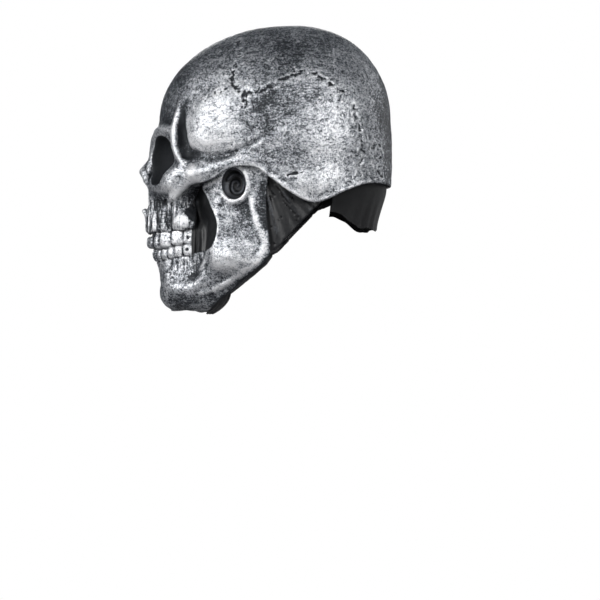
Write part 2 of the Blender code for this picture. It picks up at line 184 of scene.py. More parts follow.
class Clay:
    """Signed distances, in mm, on a grid between two corners."""

    def __init__(self, low, high, step):
        self.low, self.step = np.array(low, float), step
        counts = np.ceil((np.array(high) - self.low) / step).astype(int) + 1
        axes = [(self.low[i] + step * np.arange(counts[i])).astype(np.float32) for i in range(3)]
        self.x, self.y, self.z = axes[0][:, None, None], axes[1][None, :, None], axes[2][None, None, :]
        self.field = np.full(tuple(counts), 1e3, np.float32)

    def window(self, low, high):
        start = np.maximum(np.floor((low - self.low) / self.step).astype(int), 0)
        stop = np.ceil((high - self.low) / self.step).astype(int) + 1
        return tuple(slice(a, max(a, b)) for a, b in zip(start, stop))

    def work(self, shape, k, blend, sign):
        margin = k + 3 * self.step + 4
        part = self.window(shape.low - margin, shape.high + margin)
        field = self.field[part]
        if field.size:
            value = shape.distance(self.x[part[0]], self.y[:, part[1]], self.z[:, :, part[2]])
            self.field[part] = blend(field, sign * value, k)

    def add(self, shape, k):
        self.work(shape, k, join, 1)

    def cut(self, shape, k):
        self.work(shape, k, carve, -1)

    def keep(self, values, k):
        """Keeps only what lies inside another field."""
        self.field = carve(self.field, np.broadcast_to(values, self.field.shape), k).astype(np.float32)

    def set_form(self, form):
        """Takes a form of any scale whose zero is the surface, and makes it a distance there."""
        values = form(self.x, self.y, self.z)
        steep = np.sqrt(sum(slope ** 2 for slope in np.gradient(values, self.step)))
        self.field = (values / np.maximum(steep, 1e-3)).astype(np.float32)

    def hollowed(self, thickness):
        """A copy of which only a skin of even thickness is left."""
        made = copy.copy(self)
        made.field = carve(self.field, -(self.field + thickness), 0.8)
        return made

    def trim(self, outline, k=1.4):
        """Keeps what lies inside a closed (y, z) outline of the side view."""
        self.keep(outline_distance(outline, self.y[0], self.z[0]).astype(np.float32)[None], k)


def outline_distance(outline, y, z):
    """Signed distance in the side view from points to a closed (y, z) outline, - inside."""
    points = np.array(outline, float)
    best = np.full(np.broadcast(y, z).shape, 1e9)
    inside = np.zeros(best.shape, bool)
    for (y0, z0), (y1, z1) in zip(points, np.roll(points, -1, axis=0)):
        dy, dz = y1 - y0, z1 - z0
        along = np.clip(((y - y0) * dy + (z - z0) * dz) / (dy * dy + dz * dz + 1e-12), 0, 1)
        best = np.minimum(best, (y - y0 - along * dy) ** 2 + (z - z0 - along * dz) ** 2)
        if dz != 0:
            crossing = (z0 > z) != (z1 > z)
            inside ^= crossing & (y < dy * (z - z0) / dz + y0)
    return np.sqrt(best) * np.where(inside, -1, 1)


def rounded(outline):
    """Cuts the corners of a closed outline, which rounds it."""
    points = np.array(outline, float)
    after = np.roll(points, -1, axis=0)
    points = np.stack([0.75 * points + 0.25 * after, 0.25 * points + 0.75 * after], axis=1)
    return points.reshape(-1, 2)


# ---------------------------------------------------------------- from clay to a mesh
CORNERS = [(i, j, k) for i in (0, 1) for j in (0, 1) for k in (0, 1)]


def draw_surface(field, low, step):
    """Surface nets: one point in each cell that the surface passes, and quads between them."""
    inside = field < 0
    shape = tuple(n - 1 for n in field.shape)
    total = np.zeros(shape, np.int8)
    for i, j, k in CORNERS:
        total += inside[i:i + shape[0], j:j + shape[1], k:k + shape[2]]
    cells = np.argwhere((total > 0) & (total < 8))
    numbers = np.full(shape, -1, np.int32)
    numbers[tuple(cells.T)] = np.arange(len(cells))
    values = np.stack([field[tuple((cells + corner).T)] for corner in CORNERS], axis=1)
    sums, hits = np.zeros((len(cells), 3)), np.zeros(len(cells))
    for a in range(8):
        for b in range(a + 1, 8):
            way = np.array(CORNERS[b]) - np.array(CORNERS[a])
            if np.abs(way).sum() != 1:
                continue
            va, vb = values[:, a], values[:, b]
            cross = (va < 0) != (vb < 0)
            share = np.where(cross, va / np.where(cross, va - vb, 1.0), 0.0)
            sums += cross[:, None] * (np.array(CORNERS[a]) + share[:, None] * way)
            hits += cross
    points = low + step * (cells + sums / hits[:, None])
    quads = []
    for axis in range(3):
        u, v = (axis + 1) % 3, (axis + 2) % 3
        first = [slice(1, -1)] * 3
        first[axis] = slice(0, -1)
        second = list(first)
        second[axis] = slice(1, None)
        places = np.argwhere(inside[tuple(first)] != inside[tuple(second)])
        offset = np.array([1, 1, 1])
        offset[axis] = 0
        places = places + offset
        out = inside[tuple(places.T)]
        ring = []
        for du, dv in ((-1, -1), (0, -1), (0, 0), (-1, 0)):
            cell = places.copy()
            cell[:, u] += du
            cell[:, v] += dv
            ring.append(numbers[tuple(cell.T)])
        ring = np.stack(ring, axis=1)
        ring[~out] = ring[~out][:, ::-1]
        quads.append(ring)
    return points, np.concatenate(quads)


def mixed(cell, share, value_at):
    """The values at the corners of cells, mixed by the share of the way through each cell."""
    total = np.zeros(len(cell))
    for corner in CORNERS:
        a, b, c = np.where(corner, share, 1 - share).T
        total += a * b * c * value_at(*(cell + corner).T)
    return total


def sample(field, low, step, points):
    """The field's value at points between the grid's own."""
    place = np.clip((points - low) / step, 0, np.array(field.shape) - 1.001)
    cell = place.astype(int)
    return mixed(cell, place - cell, lambda i, j, k: field[i, j, k])


def slope_at(field, low, step, points):
    """The way in which the field grows at points."""
    steps = np.eye(3) * step * 0.6
    return np.stack([(sample(field, low, step, points + s) - sample(field, low, step, points - s))
                     / (1.2 * step) for s in steps], axis=1)


def neighbours(quads):
    """The pairs of points that share an edge."""
    pairs = np.concatenate([quads[:, [i, (i + 1) % 4]] for i in range(4)])
    return np.unique(np.sort(pairs, axis=1), axis=0)


def relax(points, pairs, share):
    """Moves each point towards the middle of its neighbours."""
    sums = np.zeros_like(points)
    for axis in range(points.shape[1]):
        sums[:, axis] = (np.bincount(pairs[:, 0], points[pairs[:, 1], axis], len(points))
                         + np.bincount(pairs[:, 1], points[pairs[:, 0], axis], len(points)))
    count = np.bincount(pairs.ravel(), minlength=len(points))[:, None]
    return points + share * (sums / np.maximum(count, 1) - points)


def finished_surface(field, low, step, rounds=2):
    """The surface's points, drawn onto the field's zero level and evened out, and its quads."""
    points, quads = draw_surface(field, low, step)
    pairs = neighbours(quads)
    for _ in range(rounds):
        points = relax(points, pairs, 0.5)
        slope = slope_at(field, low, step, points)
        value = sample(field, low, step, points)
        steep = np.maximum((slope ** 2).sum(axis=1), 0.15)
        move = np.clip(value / steep, -0.6 * step, 0.6 * step)
        points = points - slope * move[:, None]
    return points, quads


def mirrored(half):
    """Both halves of a field whose first layer lies on the midplane."""
    return np.concatenate([half[:0:-1], half])


def set_points(mesh, points):
    """Puts a mesh's points at places in mm."""
    mesh.vertices.foreach_set("co", (np.asarray(points) * MM).astype(np.float32).ravel())


def mesh_object(name, points, faces):
    """An object from points in mm and faces of equal size, with smooth shading."""
    mesh = bpy.data.meshes.new(name)
    faces = np.asarray(faces)
    mesh.vertices.add(len(points))
    set_points(mesh, points)
    mesh.loops.add(faces.size)
    mesh.loops.foreach_set("vertex_index", faces.astype(np.int32).ravel())
    mesh.polygons.add(len(faces))
    mesh.polygons.foreach_set("loop_start", np.arange(0, faces.size, faces.shape[1], dtype=np.int32))
    mesh.update(calc_edges=True)
    mesh.validate()
    mesh.shade_smooth()
    made = bpy.data.objects.new(name, mesh)
    bpy.context.scene.collection.objects.link(made)
    return made


def mesh_points(piece):
    """A mesh's points in mm."""
    found = np.zeros(len(piece.data.vertices) * 3, np.float32)
    piece.data.vertices.foreach_get("co", found)
    return found.reshape(-1, 3).astype(float) / MM


def attribute(piece, name, values):
    """Stores a value for each point of a piece, for its material to read."""
    layer = piece.data.attributes.new(name, "FLOAT", "POINT")
    layer.data.foreach_set("value", np.asarray(values, np.float32))


def settle(piece):
    """Applies the modifiers of a piece."""
    graph = bpy.context.evaluated_depsgraph_get()
    mesh = bpy.data.meshes.new_from_object(piece.evaluated_get(graph))
    piece.modifiers.clear()
    piece.data = mesh


def clustered(points, quads, chosen, cell):
    """Triangles in place of quads, with the chosen points merged in cells of the given size."""
    number = np.arange(len(points))
    picks = np.flatnonzero(chosen)
    keys = np.floor(points[picks] / cell).astype(np.int64) + 4096
    keys = (keys[:, 0] * 8192 + keys[:, 1]) * 8192 + keys[:, 2]
    _, first, group = np.unique(keys, return_index=True, return_inverse=True)
    number[picks] = picks[first][group]
    middle = np.stack([np.bincount(group, points[picks, axis]) for axis in range(3)], axis=1)
    points = points.copy()
    points[picks[first]] = middle / np.bincount(group)[:, None]
    faces = number[np.concatenate([quads[:, [0, 1, 2]], quads[:, [0, 2, 3]]])]
    a, b, c = faces.T
    faces = faces[(a != b) & (b != c) & (a != c)]
    used, faces = np.unique(faces, return_inverse=True)
    return points[used], faces.reshape(-1, 3)


def occupancy(field, radius):
    """The share of the neighbourhood that is inside: 0.5 on a flat surface, more in a hollow."""
    share = np.clip(0.5 - field, 0.0, 1.0).astype(np.float32)
    for axis in range(3):
        total = np.cumsum(share, axis=axis, dtype=np.float32)
        padded = np.concatenate([np.zeros_like(total.take([0], axis)), total], axis=axis)
        count = share.shape[axis]
        high = np.minimum(np.arange(count) + radius + 1, count)
        low = np.maximum(np.arange(count) - radius, 0)
        share = (padded.take(high, axis) - padded.take(low, axis)) / (2 * radius + 1)
    return share


def units(vectors):
    return vectors / np.maximum(np.linalg.norm(vectors, axis=1), 1e-6)[:, None]


def standing_out(fine, broad):
    """From 0 in a hollow to 1 on a ridge, from the occupancies near a point and around it."""
    return np.clip(0.5 + (0.5 - fine) * 4.0 + (0.5 - broad) * 2.4, 0.0, 1.0)


LATTICE_SIZE = 32
LATTICE = np.random.default_rng(SEED).random((LATTICE_SIZE,) * 3) * 2 - 1


def lumps(points, size):
    """Smooth noise from -1 to 1, with features about as large as size, in mm."""
    place = points / size + 512.37
    cell = np.floor(place).astype(int)
    share = place - cell
    share = share * share * (3 - 2 * share)
    return mixed(cell, share, lambda i, j, k: LATTICE[i % LATTICE_SIZE, j % LATTICE_SIZE, k % LATTICE_SIZE])


# ---------------------------------------------------------------- forms of the head and the jaw
# Each level of the head below the dome: z, then front, back, half width and squareness.
FRONT = [(50, -98.3), (40, -100.5), (30, -102.5), (18, -103), (5, -104), (-8, -106.6),
         (-20, -108.6), (-35, -109.8), (-45, -110), (-58, -109), (-80, -105)]
BACK = [(50, 115.6), (30, 116.8), (5, 116.8), (-12, 116.2), (-40, 113), (-80, 105)]
WIDTH = [(50, 84), (27, 83), (10, 79.5), (-12, 76), (-30, 71), (-54, 60.5), (-80, 56)]
SQUARENESS = [(50, 2.3), (0, 2.3), (-25, 2.6), (-48, 3.0), (-80, 3.0)]
JAW_FRONT = [(20, -104), (-50, -104.5), (-71, -105), (-80, -102.4), (-86, -99.6), (-97, -97.6),
             (-111, -96.4), (-119.5, -90.6), (-124.5, -77), (-127.5, -62)]
JAW_BACK = [(20, 118), (-50, 116), (-80, 112), (-97, 100), (-111, 80), (-120, 30), (-127.5, -58)]
JAW_WIDE_Y = [(20, 15), (-80, 15), (-97, 12), (-111, 0), (-120, -25), (-127.5, -60)]
JAW_WIDTH = [(20, 67), (0, 65.5), (-25, 62.5), (-50, 60.5), (-70, 58.5), (-80, 57.5), (-97, 47.5),
             (-111, 38), (-120, 31), (-124.5, 23), (-127.5, 4)]
JAW_SQUARENESS = [(20, 2.4), (-50, 2.4), (-80, 2.5), (-97, 3.0), (-111, 3.6), (-127.5, 2.4)]


def level_ring(x, y, front, back, wide, half, power):
    """1 on a rounded level outline that is widest at y = wide, less inside it."""
    reach = np.where(y < wide, wide - front, back - wide)
    across, along = np.abs(x) / half, np.abs(y - wide) / reach
    return (across ** power + along ** power) ** (1 / power)


def head_form(x, y, z):
    """The plain head: level outlines below the dome's widest level, an ovoid dome above it."""
    low = np.minimum(z, DOME_Z)
    front, back, half, power = (curve(line, low) for line in (FRONT, BACK, WIDTH, SQUARENESS))
    pinch = 1 - 0.40 * smooth(z, -8, -30) * smooth(y, -40, -66)
    up = np.maximum(z - DOME_Z, 0) / (CROWN[1] - DOME_Z)
    wide = WIDE_Y + (CROWN[0] - WIDE_Y) * np.minimum(up * 2, 1)
    ring = level_ring(x, y, front, back, wide, half * pinch, power)
    bend = 2.13 + 0.14 * np.tanh((y - CROWN[0]) / 30)
    return ((ring ** bend + up ** 2) ** (1 / 2.13) - 1) * 80


def jaw_form(x, y, z):
    """The plain jaw: level outlines that narrow towards the chin."""
    front, back, wide, half, power = (curve(line, z) for line in (
        JAW_FRONT, JAW_BACK, JAW_WIDE_Y, JAW_WIDTH, JAW_SQUARENESS))
    pinch = 1 - 0.30 * smooth(z, -102, -80) * smooth(y, -42, -68)
    ring = level_ring(x, y, front, back, wide, half * pinch, power)
    return np.maximum((ring - 1) * 60, CHIN_LOW_Z - z)


def side_of(form, y, z, inset=0.0):
    """The x at which a form's left side passes the given y and z, or 0 outside its profile."""
    y, z = np.asarray(y, float), np.asarray(z, float)
    low, high = np.zeros(np.broadcast(y, z).shape), np.full(np.broadcast(y, z).shape, 95.0)
    for _ in range(24):
        middle = (low + high) / 2
        inside = form(middle, y, z) < 0
        low, high = np.where(inside, middle, low), np.where(inside, high, middle)
    return np.maximum(low - inset, 0.0)


def side_rope(form, points, inset):
    """A rope through (y, z, radius) points of the side view, set into a form's left side."""
    return Rope([(float(side_of(form, y, z, inset)), y, z, radius) for y, z, radius in points])


class Arch:
    """The line of a tooth row: a form's outline at one level, from the midline backwards."""

    def __init__(self, form, z, last_y):
        first_y = -112.0
        y = np.linspace(first_y, last_y, 400)
        x = side_of(form, y, np.full_like(y, z))
        start = np.flatnonzero(x > 0)[0]
        self.line = np.stack([x[start:], y[start:]], axis=1)
        self.line = np.concatenate([[[0.0, self.line[0, 1]]], self.line])
        steps = np.linalg.norm(np.diff(self.line, axis=0), axis=1)
        self.lengths = np.concatenate([[0.0], np.cumsum(steps)])

    def length_at(self, y):
        return float(np.interp(y, self.line[:, 1], self.lengths))

    def place(self, length, inset=0.0):
        """The (x, y) at a length along the line, set in from it, and its heading in degrees."""
        x, y = (np.interp(length, self.lengths, self.line[:, i]) for i in (0, 1))
        nx, ny = (np.interp(length + 0.8, self.lengths, self.line[:, i]) for i in (0, 1))
        px, py = (np.interp(max(length - 0.8, 0), self.lengths, self.line[:, i]) for i in (0, 1))
        way = np.array([nx - px, ny - py]) / math.hypot(nx - px, ny - py)
        spot = np.array([x, y]) + np.array([-way[1], way[0]]) * inset
        return float(spot[0]), float(spot[1]), math.degrees(math.atan2(way[1], way[0]))


# ---------------------------------------------------------------- the skull casting
def scalloped(ys, crest, dip):
    """Points of a gum edge that arches over each tooth, between the tooth limits ys."""
    points = []
    for near, far in zip(ys, ys[1:]):
        points += [(near, dip(near)), ((near + far) / 2, crest((near + far) / 2))]
    return points + [(ys[-1], dip(ys[-1]))]


# The y of the limits between the teeth, from the midline to the last tooth, and the rows' levels.
UPPER_LIMITS = [-112.0, -108.3, -103.5, -97.3, -86.5, -75.2, -64.8]
LOWER_LIMITS = [-108.0, -103.2, -100.2, -95.8, -90.0, -83.5, -75.5, -65.8]
UPPER_ROW_Z, LOWER_ROW_Z = -54.0, -79.0


def upper_gum(y):
    """The level at which the upper teeth leave the gum."""
    return float(curve([(-112, -54.5), (-95, -54.0), (-80, -52.5), (-64, -51.0)], y))


def bite(y):
    """Where the upper and lower teeth meet."""
    return float(curve([(-112, -69.6), (-95, -68.8), (-82, -66.6), (-64, -64.0)], y))


def lower_gum(y):
    return float(curve([(-108, -81.0), (-95, -79.5), (-82, -77.2), (-64, -74.6)], y))


# The lower edge of the skull from behind the teeth along the arch and the rear rim, as (y, z).
ARCH_EDGE = [(-66.0, -11.8), (-58.0, -11.6), (-51.0, -10.6), (-44.2, -8.0), (-37.8, -2.9),
             (-30.4, 0.6), (-21.5, 2.4), (-12.6, 2.3), (-5.5, 0.2), (0.5, -4.4)]
REAR_EDGE = [(8, -9.8), (16.5, -16.6), (27.9, -24), (38, -29.0), (47, -30), (56.5, -27), (70, -20),
             (84, -14.2), (92, -11.6), (103, -10.8), (116, -12), (140, -13.5)]
SKULL_TRIM = ([(-140, 160), (-140, -55)]
              + scalloped(UPPER_LIMITS, lambda y: upper_gum(y) + 1.0, lambda y: upper_gum(y) - 1.6)
              + [(-63.8, -48), (-63.0, -40), (-61.5, -30), (-60.5, -18)]
              + ARCH_EDGE[1:] + REAR_EDGE + [(140, 160)])

# Cracks of the left side: each chain of (y, z), and how far the crack wanders from it, in mm.
SEAMS = [
    ([(-22.7, 120.5), (-23.1, 106.3), (-26.5, 91.1), (-29.5, 76.1), (-24.2, 70.7)], 1.3),
    ([(-31, 72.8), (-41, 66), (-51.1, 59.7), (-60, 52.5), (-66.6, 47.7)], 1.1),
    ([(-24.2, 70.7), (-16, 67.5), (-8.9, 65.4), (0, 69), (8.2, 73.9), (17, 79), (25.3, 82.4),
      (36.7, 87), (50.1, 81.1)], 1.3),
    ([(50.1, 81.1), (57, 76), (64.4, 72.6), (74, 64.5), (79.8, 56.2), (81.3, 43), (86.7, 30.9),
      (88.2, 14.3)], 1.3),
    ([(-17.4, 66), (-14.6, 60), (-16.4, 54), (-19.6, 55), (-19.0, 61), (-17.4, 66)], 0.6),
    ([(-28.8, 26.0), (-28.2, 19.5)], 0.4),
    ([(20.6, -5), (32.9, -3.1)], 0.4),
    ([(97, 8), (93, 1), (98, -4)], 0.8),
    ([(104, 6), (101, -1), (106, -5)], 0.7),
    ([(88.2, 10), (83, 3), (86, -4), (80, -8)], 0.8),
    ([(94, 30), (99, 23), (95, 15)], 0.9),
    ([(103, 24), (106, 15), (102, 9)], 0.8),
]
MOULD_LINE = [(61.5, 116), (63.0, 60), (65.5, -18)]

# Hollows on the left side, and the painted shade below the cheekbone.
SOCKET = Ball(ORBIT, ORBIT_RADII, rotation(yaw=ORBIT_YAW, pitch=-3), ORBIT_POWER)
NOSE_LOW = Ball((4.6, -110, -19.5), (8.0, 17, 10.5), None, 2.4)
NOSE_HIGH = Ball((0, -112, -8.5), (6.6, 13, 9.5))
CHEEK_HOLLOW = Ball((50, -60, -27.5), (24, 21.5, 17))
CHEEK_SHADE = Ball((50, -56, -31), (24, 20.5, 17))
TEMPLE_GROOVE = Rope([(60.5, -74.5, 61, 1.0), (59, -74.6, 49, 3.0), (57.5, -73.6, 36, 5.0),
                      (57.5, -72.6, 24, 6.4), (59.5, -70.0, 15.6, 6.0), (66, -63.5, 13.8, 4.4)])
# The furrow below the temple, as (y, z, radius).
TEMPLE_FURROW = [(-64, 13.6, 3.6), (-55, 11.8, 3.2), (-46, 10.6, 3.0), (-37, 11.6, 2.9), (-26, 14.6, 2.6),
                 (-16, 19.0, 2.3), (-7, 24.6, 1.9), (2, 31.0, 1.2)]


def sculpt_skull():
    clay = Clay((0, -124, -62), (92, 124, 146), SKULL_VOXEL)
    clay.set_form(head_form)
    add, cut = clay.add, clay.cut
    # Temple: an egg that leans back, proud of the head along its front and lower edge.
    egg = rotation(pitch=33)
    add(Ball((45.0, -30.5, 45.5), (35.0, 42.5, 34.0), egg, 2.35), 6.0)
    add(Ball((43.5, -47.0, 30.5), (28.5, 23.0, 16.0), rotation(pitch=22), 2.3), 6.0)
    # Glabella, brow and the thin outer rim of the socket.
    add(Ball((0, -95, 24), (15, 12.5, 15)), 8)
    add(Rope([(8, -99.5, 32, 5), (22, -98, 37.0, 4.4), (38, -91.5, 38.5, 4), (49, -84.5, 37, 3.4)]), 6)
    add(Rope([(50.0, -74.5, 62, 2.0), (52.0, -78.6, 46, 4.2), (52.6, -80.2, 34, 5.0),
              (52.2, -79.6, 23, 5.0), (54.2, -76.6, 14.6, 4.7), (57.8, -71.8, 7.5, 4.6)]), 3.0)
    # Cheekbone body, lower rim of the socket and the arch.
    add(Ball((46, -80, -8), (13.5, 13.5, 13)), 7)
    add(Rope([(14, -102, -8, 4.2), (29, -98, -13.5, 4.6), (44, -89, -13, 5), (52, -80, -5, 6)]), 6)
    add(Rope([(54.5, -75, -2, 7.6), (59.0, -62, -2, 8.0), (63.6, -49, -0.5, 7.6),
              (68.4, -35, 4.5, 6.4), (72.0, -21, 8, 5.4), (73.5, -6, 8, 3)]), 5)
    # Nose bones, the edge of the nose opening and the spine below it.
    add(Rope([(0, -98, 26, 7), (0, -102.8, 13, 5.8), (0, -113.6, 3.0, 4.1)]), 5)
    add(Rope([(8, -103, 18, 4), (8.5, -107.5, 4, 3.4)]), 5)
    add(Rope([(4.0, -112.6, 0.5, 4.2), (7.5, -109.8, -5.5, 3.8), (11.5, -106.2, -12, 3.2),
              (13.5, -104.8, -22, 3.0), (8, -106.8, -30.5, 2.4)]), 3)
    add(Rope([(0, -107.6, -47, 3.4), (0, -109.8, -39, 2.8), (0, -113.2, -33.2, 2.4)]), 2.5)
    # Hollow below the cheekbone, then the dent in front of it.
    cut(CHEEK_HOLLOW, 4)
    cut(Ball((33, -108, -29), (13, 12, 13)), 7)
    # The cheekbone's bright ridge down to its tip, the round boss at its root.
    add(Rope([(61.5, -64, -3.5, 7.0), (56.5, -70.5, -9, 6.0), (52.5, -77, -16.5, 5.4),
              (49.5, -82.4, -23.4, 3.9)]), 3.5)
    add(Ball((61.5, -61.5, -0.6), (6.8, 7.8, 7.8)), 2.0)
    # Roots of the teeth, standing out like organ pipes above the gum.
    row = Arch(head_form, -50.0, -64.8)
    for near, far in zip(UPPER_LIMITS, UPPER_LIMITS[1:]):
        middle = (row.length_at(near) + row.length_at(far)) / 2
        x, y, _ = row.place(middle, 1.0)
        top = -26 if y < -88 else -33
        add(Rope([(x, y, -51, 2.8), (x * 0.97, y, -40, 2.0), (x * 0.91, y + 1.6, top, 1.0)]), 3.5)
    # The swelling behind them, and short upright grooves beside the front ones.
    add(Ball((31.0, -74, -45), (7.0, 10.0, 10.5)), 4)
    for shift in (-3.2, 2.4):
        for y in (-101, -94, -88):
            x = float(side_of(head_form, y, -36.0))
            cut(Rope([(x + 0.8, y + shift, -44, 1.1), (x + 0.4, y + shift + 1, -24, 1.0)]), 1.6)
    # Eye socket and nose opening.
    cut(SOCKET, 2.2)
    cut(NOSE_LOW, 2)
    cut(NOSE_HIGH, 2.5)
    # Groove between the socket's rim and the temple, then the furrow below the temple.
    cut(TEMPLE_GROOVE, 2.4)
    cut(side_rope(head_form, TEMPLE_FURROW, -1.6), 3.0)
    # A rounded lip along the arch and the rear rim.
    edge = ARCH_EDGE[3:] + REAR_EDGE[:-3]
    lip = [(y, z + 1.6, 2.1) for y, z in edge]
    add(side_rope(head_form, lip, 1.0), 2.5)
    # The swelling behind the arch.
    add(Ball((62, 42, -12), (13, 22, 17)), 10)
    return clay


# ---------------------------------------------------------------- the jaw casting
JAW_TRIM = ([(-140, -140), (-140, -81)]
            + scalloped(LOWER_LIMITS, lambda y: lower_gum(y) - 1.0, lambda y: lower_gum(y) + 1.4)
            + [(-62, -72.6), (-55, -71.6), (-49.5, -69.4), (-45.6, -63.8), (-43.6, -56), (-42.8, -47),
               (-45.6, -38.6), (-48.9, -32), (-50.8, -26.6), (-54.2, -19.8), (-57.4, -14.8),
               (-55, -8), (-38, 2), (-24, 13), (-15, 20), (-1, 20), (5, 12), (4, -4), (1.6, -20),
               (1.8, -35), (3.6, -52.3), (5.4, -66), (5.2, -77.3), (-16.3, -96.4), (-48, -121.7),
               (-64, -140)])


def sculpt_jaw():
    clay = Clay((0, -120, -132), (74, 14, 26), VOXEL)
    clay.set_form(jaw_form)
    add, cut = clay.add, clay.cut
    form = jaw_form
    # Chin, with its two low corners.
    add(Ball((0, -84, -111), (17, 13, 12)), 7)
    add(Ball((13, -86, -114), (8, 8, 7)), 6)
    # Hollow under the gum, and the shallow hollow of the ramus.
    cut(Ball((float(side_of(form, -78, -92)) + 6, -82, -92), (8.5, 20, 10)), 8)
    cut(Ball((float(side_of(form, -18, -42)) + 12, -19, -40), (14, 15, 22)), 6)
    # Lower border: a bright ridge from the chin to the angle, then up the rear edge.
    add(side_rope(form, [(-58, -108.5, 1.6), (-45.5, -106.2, 2.4), (-29.7, -97.0, 3.2),
                         (-17.8, -88.8, 3.5), (-6.4, -80.8, 3.5), (-0.8, -71.5, 3.2), (0.2, -64.5, 2.9),
                         (-2.6, -56, 2.6), (-7.0, -47, 2.5), (-10.4, -35, 2.4), (-12.0, -24, 2.0)],
                  2.0), 3.6)
    add(Ball((float(side_of(form, -26, -74, 8)), -27, -74), (11, 22, 16)), 9)
    # Oblique line and the front edge of the ramus, up to its pointed tip.
    add(side_rope(form, [(-57, -88, 1.5), (-52.8, -80.3, 2.4), (-48.6, -71.0, 2.9), (-44.8, -63, 2.8),
                         (-43.4, -55, 2.7), (-42.9, -46.6, 2.6), (-45.6, -38.6, 2.6), (-49.4, -32, 2.6),
                         (-51.2, -26.8, 2.7), (-54.4, -20, 2.5), (-57.4, -15.6, 1.9)], 1.4), 3.0)
    add(side_rope(form, [(-56.5, -15.2, 2.0), (-49, -11.4, 2.3), (-42, -9.0, 2.0)], 1.0), 2.5)
    # The thick rim of the ear hole.
    ring = []
    for step in range(25):
        angle = 2 * math.pi * step / 24
        y = EAR[1] + (EAR_RADII[0] + 1.6) * math.cos(angle)
        z = EAR[2] + (EAR_RADII[1] + 1.6) * math.sin(angle)
        ring.append((y, z, 2.1 + 0.9 * smooth(-math.sin(angle) + 0.6 * math.cos(angle), -0.2, 1.0)))
    add(side_rope(form, ring, 1.5), 3.5)
    return clay


# ---------------------------------------------------------------- castings as objects
def wandering(points, swing, draws):
    """A chain of 3-D points, divided every 2 mm and shaken sideways."""
    found = []
    for near, far in zip(points, points[1:]):
        count = max(1, round(float(np.linalg.norm(far - near)) / 2.0))
        found += [near + (far - near) * i / count for i in range(count)]
    found = np.array(found + [points[-1]])
    return found + draws.normal(0, swing, found.shape)


def chain_distance(points, chain, reach=SEAM_REACH):
    """The distance from points to a chain, up to reach."""
    best = np.full(len(points), reach)
    near = np.all((points > chain.min(axis=0) - reach) & (points < chain.max(axis=0) + reach), axis=1)
    close = points[near]
    found = np.full(len(close), reach)
    for a, b in zip(chain, chain[1:]):
        way = b - a
        along = np.clip(((close - a) @ way) / (way @ way + 1e-9), 0, 1)
        found = np.minimum(found, np.linalg.norm(close - a - along[:, None] * way, axis=1))
    best[near] = found
    return best


def seam_distance(points, draws):
    """The distance from points to the cracks of both sides, with their short side branches."""
    best = np.full(len(points), SEAM_REACH)
    for side in (1, -1):
        for chain, swing in SEAMS:
            y, z = np.array(chain, float).T
            x = side_of(head_form, y, z)
            path = wandering(np.stack([side * x, y, z], axis=1), swing, draws)
            for start in range(0, len(path) - 1, 6):
                if draws.random() > GAP_SHARE:
                    best = np.minimum(best, chain_distance(points, path[start:start + 7]))
            for k in range(1, len(path) - 1, 2):
                way = path[k + 1] - path[k - 1]
                across = np.array([0.0, -way[2], way[1]]) / max(math.hypot(way[1], way[2]), 0.1)
                reach = draws.uniform(0.5, 3.4, 2) * swing
                branch = np.stack([path[k] - reach[0] * across, path[k] + reach[1] * across])
                best = np.minimum(best, chain_distance(points, branch) + 0.2)
    return best


def mould_distance(points):
    """The distance from points to the parting line of both sides."""
    best = np.full(len(points), SEAM_REACH)
    y, z = np.array(MOULD_LINE, float).T
    y, z = (np.interp(np.linspace(0, 1, 30), np.linspace(0, 1, len(line)), line) for line in (y, z))
    for side in (1, -1):
        path = np.stack([side * side_of(head_form, y, z), y, z], axis=1)
        best = np.minimum(best, chain_distance(points, path))
    return best


def casting(name, clay, trim, cutters=(), thickness=SKIN):
    """Hollows a body to a skin, trims it and makes it an object.

    With it come its points and, for each, its share of the outer face, how much of its near and
    of its wider surroundings is inside the body, and the slope of the body's field.
    """
    shell = clay.hollowed(thickness)
    shell.trim(rounded(trim))
    for tool in cutters:
        shell.cut(tool, 1.2)
    low = clay.low.copy()
    low[0] = -clay.step * (clay.field.shape[0] - 1)
    whole, body = mirrored(shell.field), mirrored(clay.field)
    points, quads = finished_surface(whole, low, clay.step)
    depth = sample(body, low, clay.step, points)
    points, faces = clustered(points, quads, depth < -0.8 * thickness, INNER_CELL)
    made = mesh_object(name, points, faces)
    depth = sample(body, low, clay.step, points)
    outer = smooth(depth, -0.75 * thickness, -0.35 * thickness)
    fine = sample(occupancy(body, 2), low, clay.step, points)
    broad = sample(occupancy(body, 6), low, clay.step, points)
    return made, points, outer, fine, broad, slope_at(body, low, clay.step, points)


def rubbed(points, zones, lines):
    """How much lighter or darker the silver is painted, point by point: painted highlights and painted shade,
    along with more or less dry-brushed silver.

    zones are (y, z, reach in y, reach in z, amount), lines are (chain of (y, z), reach, amount).
    """
    total = np.zeros(len(points))
    for y, z, wide, tall, amount in zones:
        total += amount * np.exp(-((points[:, 1] - y) / wide) ** 2 - ((points[:, 2] - z) / tall) ** 2)
    flat = points * np.array([0.0, 1.0, 1.0])
    for chain, reach, amount in lines:
        path = np.array([(0.0, y, z) for y, z in chain])
        total += amount * np.exp(-(chain_distance(flat, path, 4 * reach) / reach) ** 2)
    return total


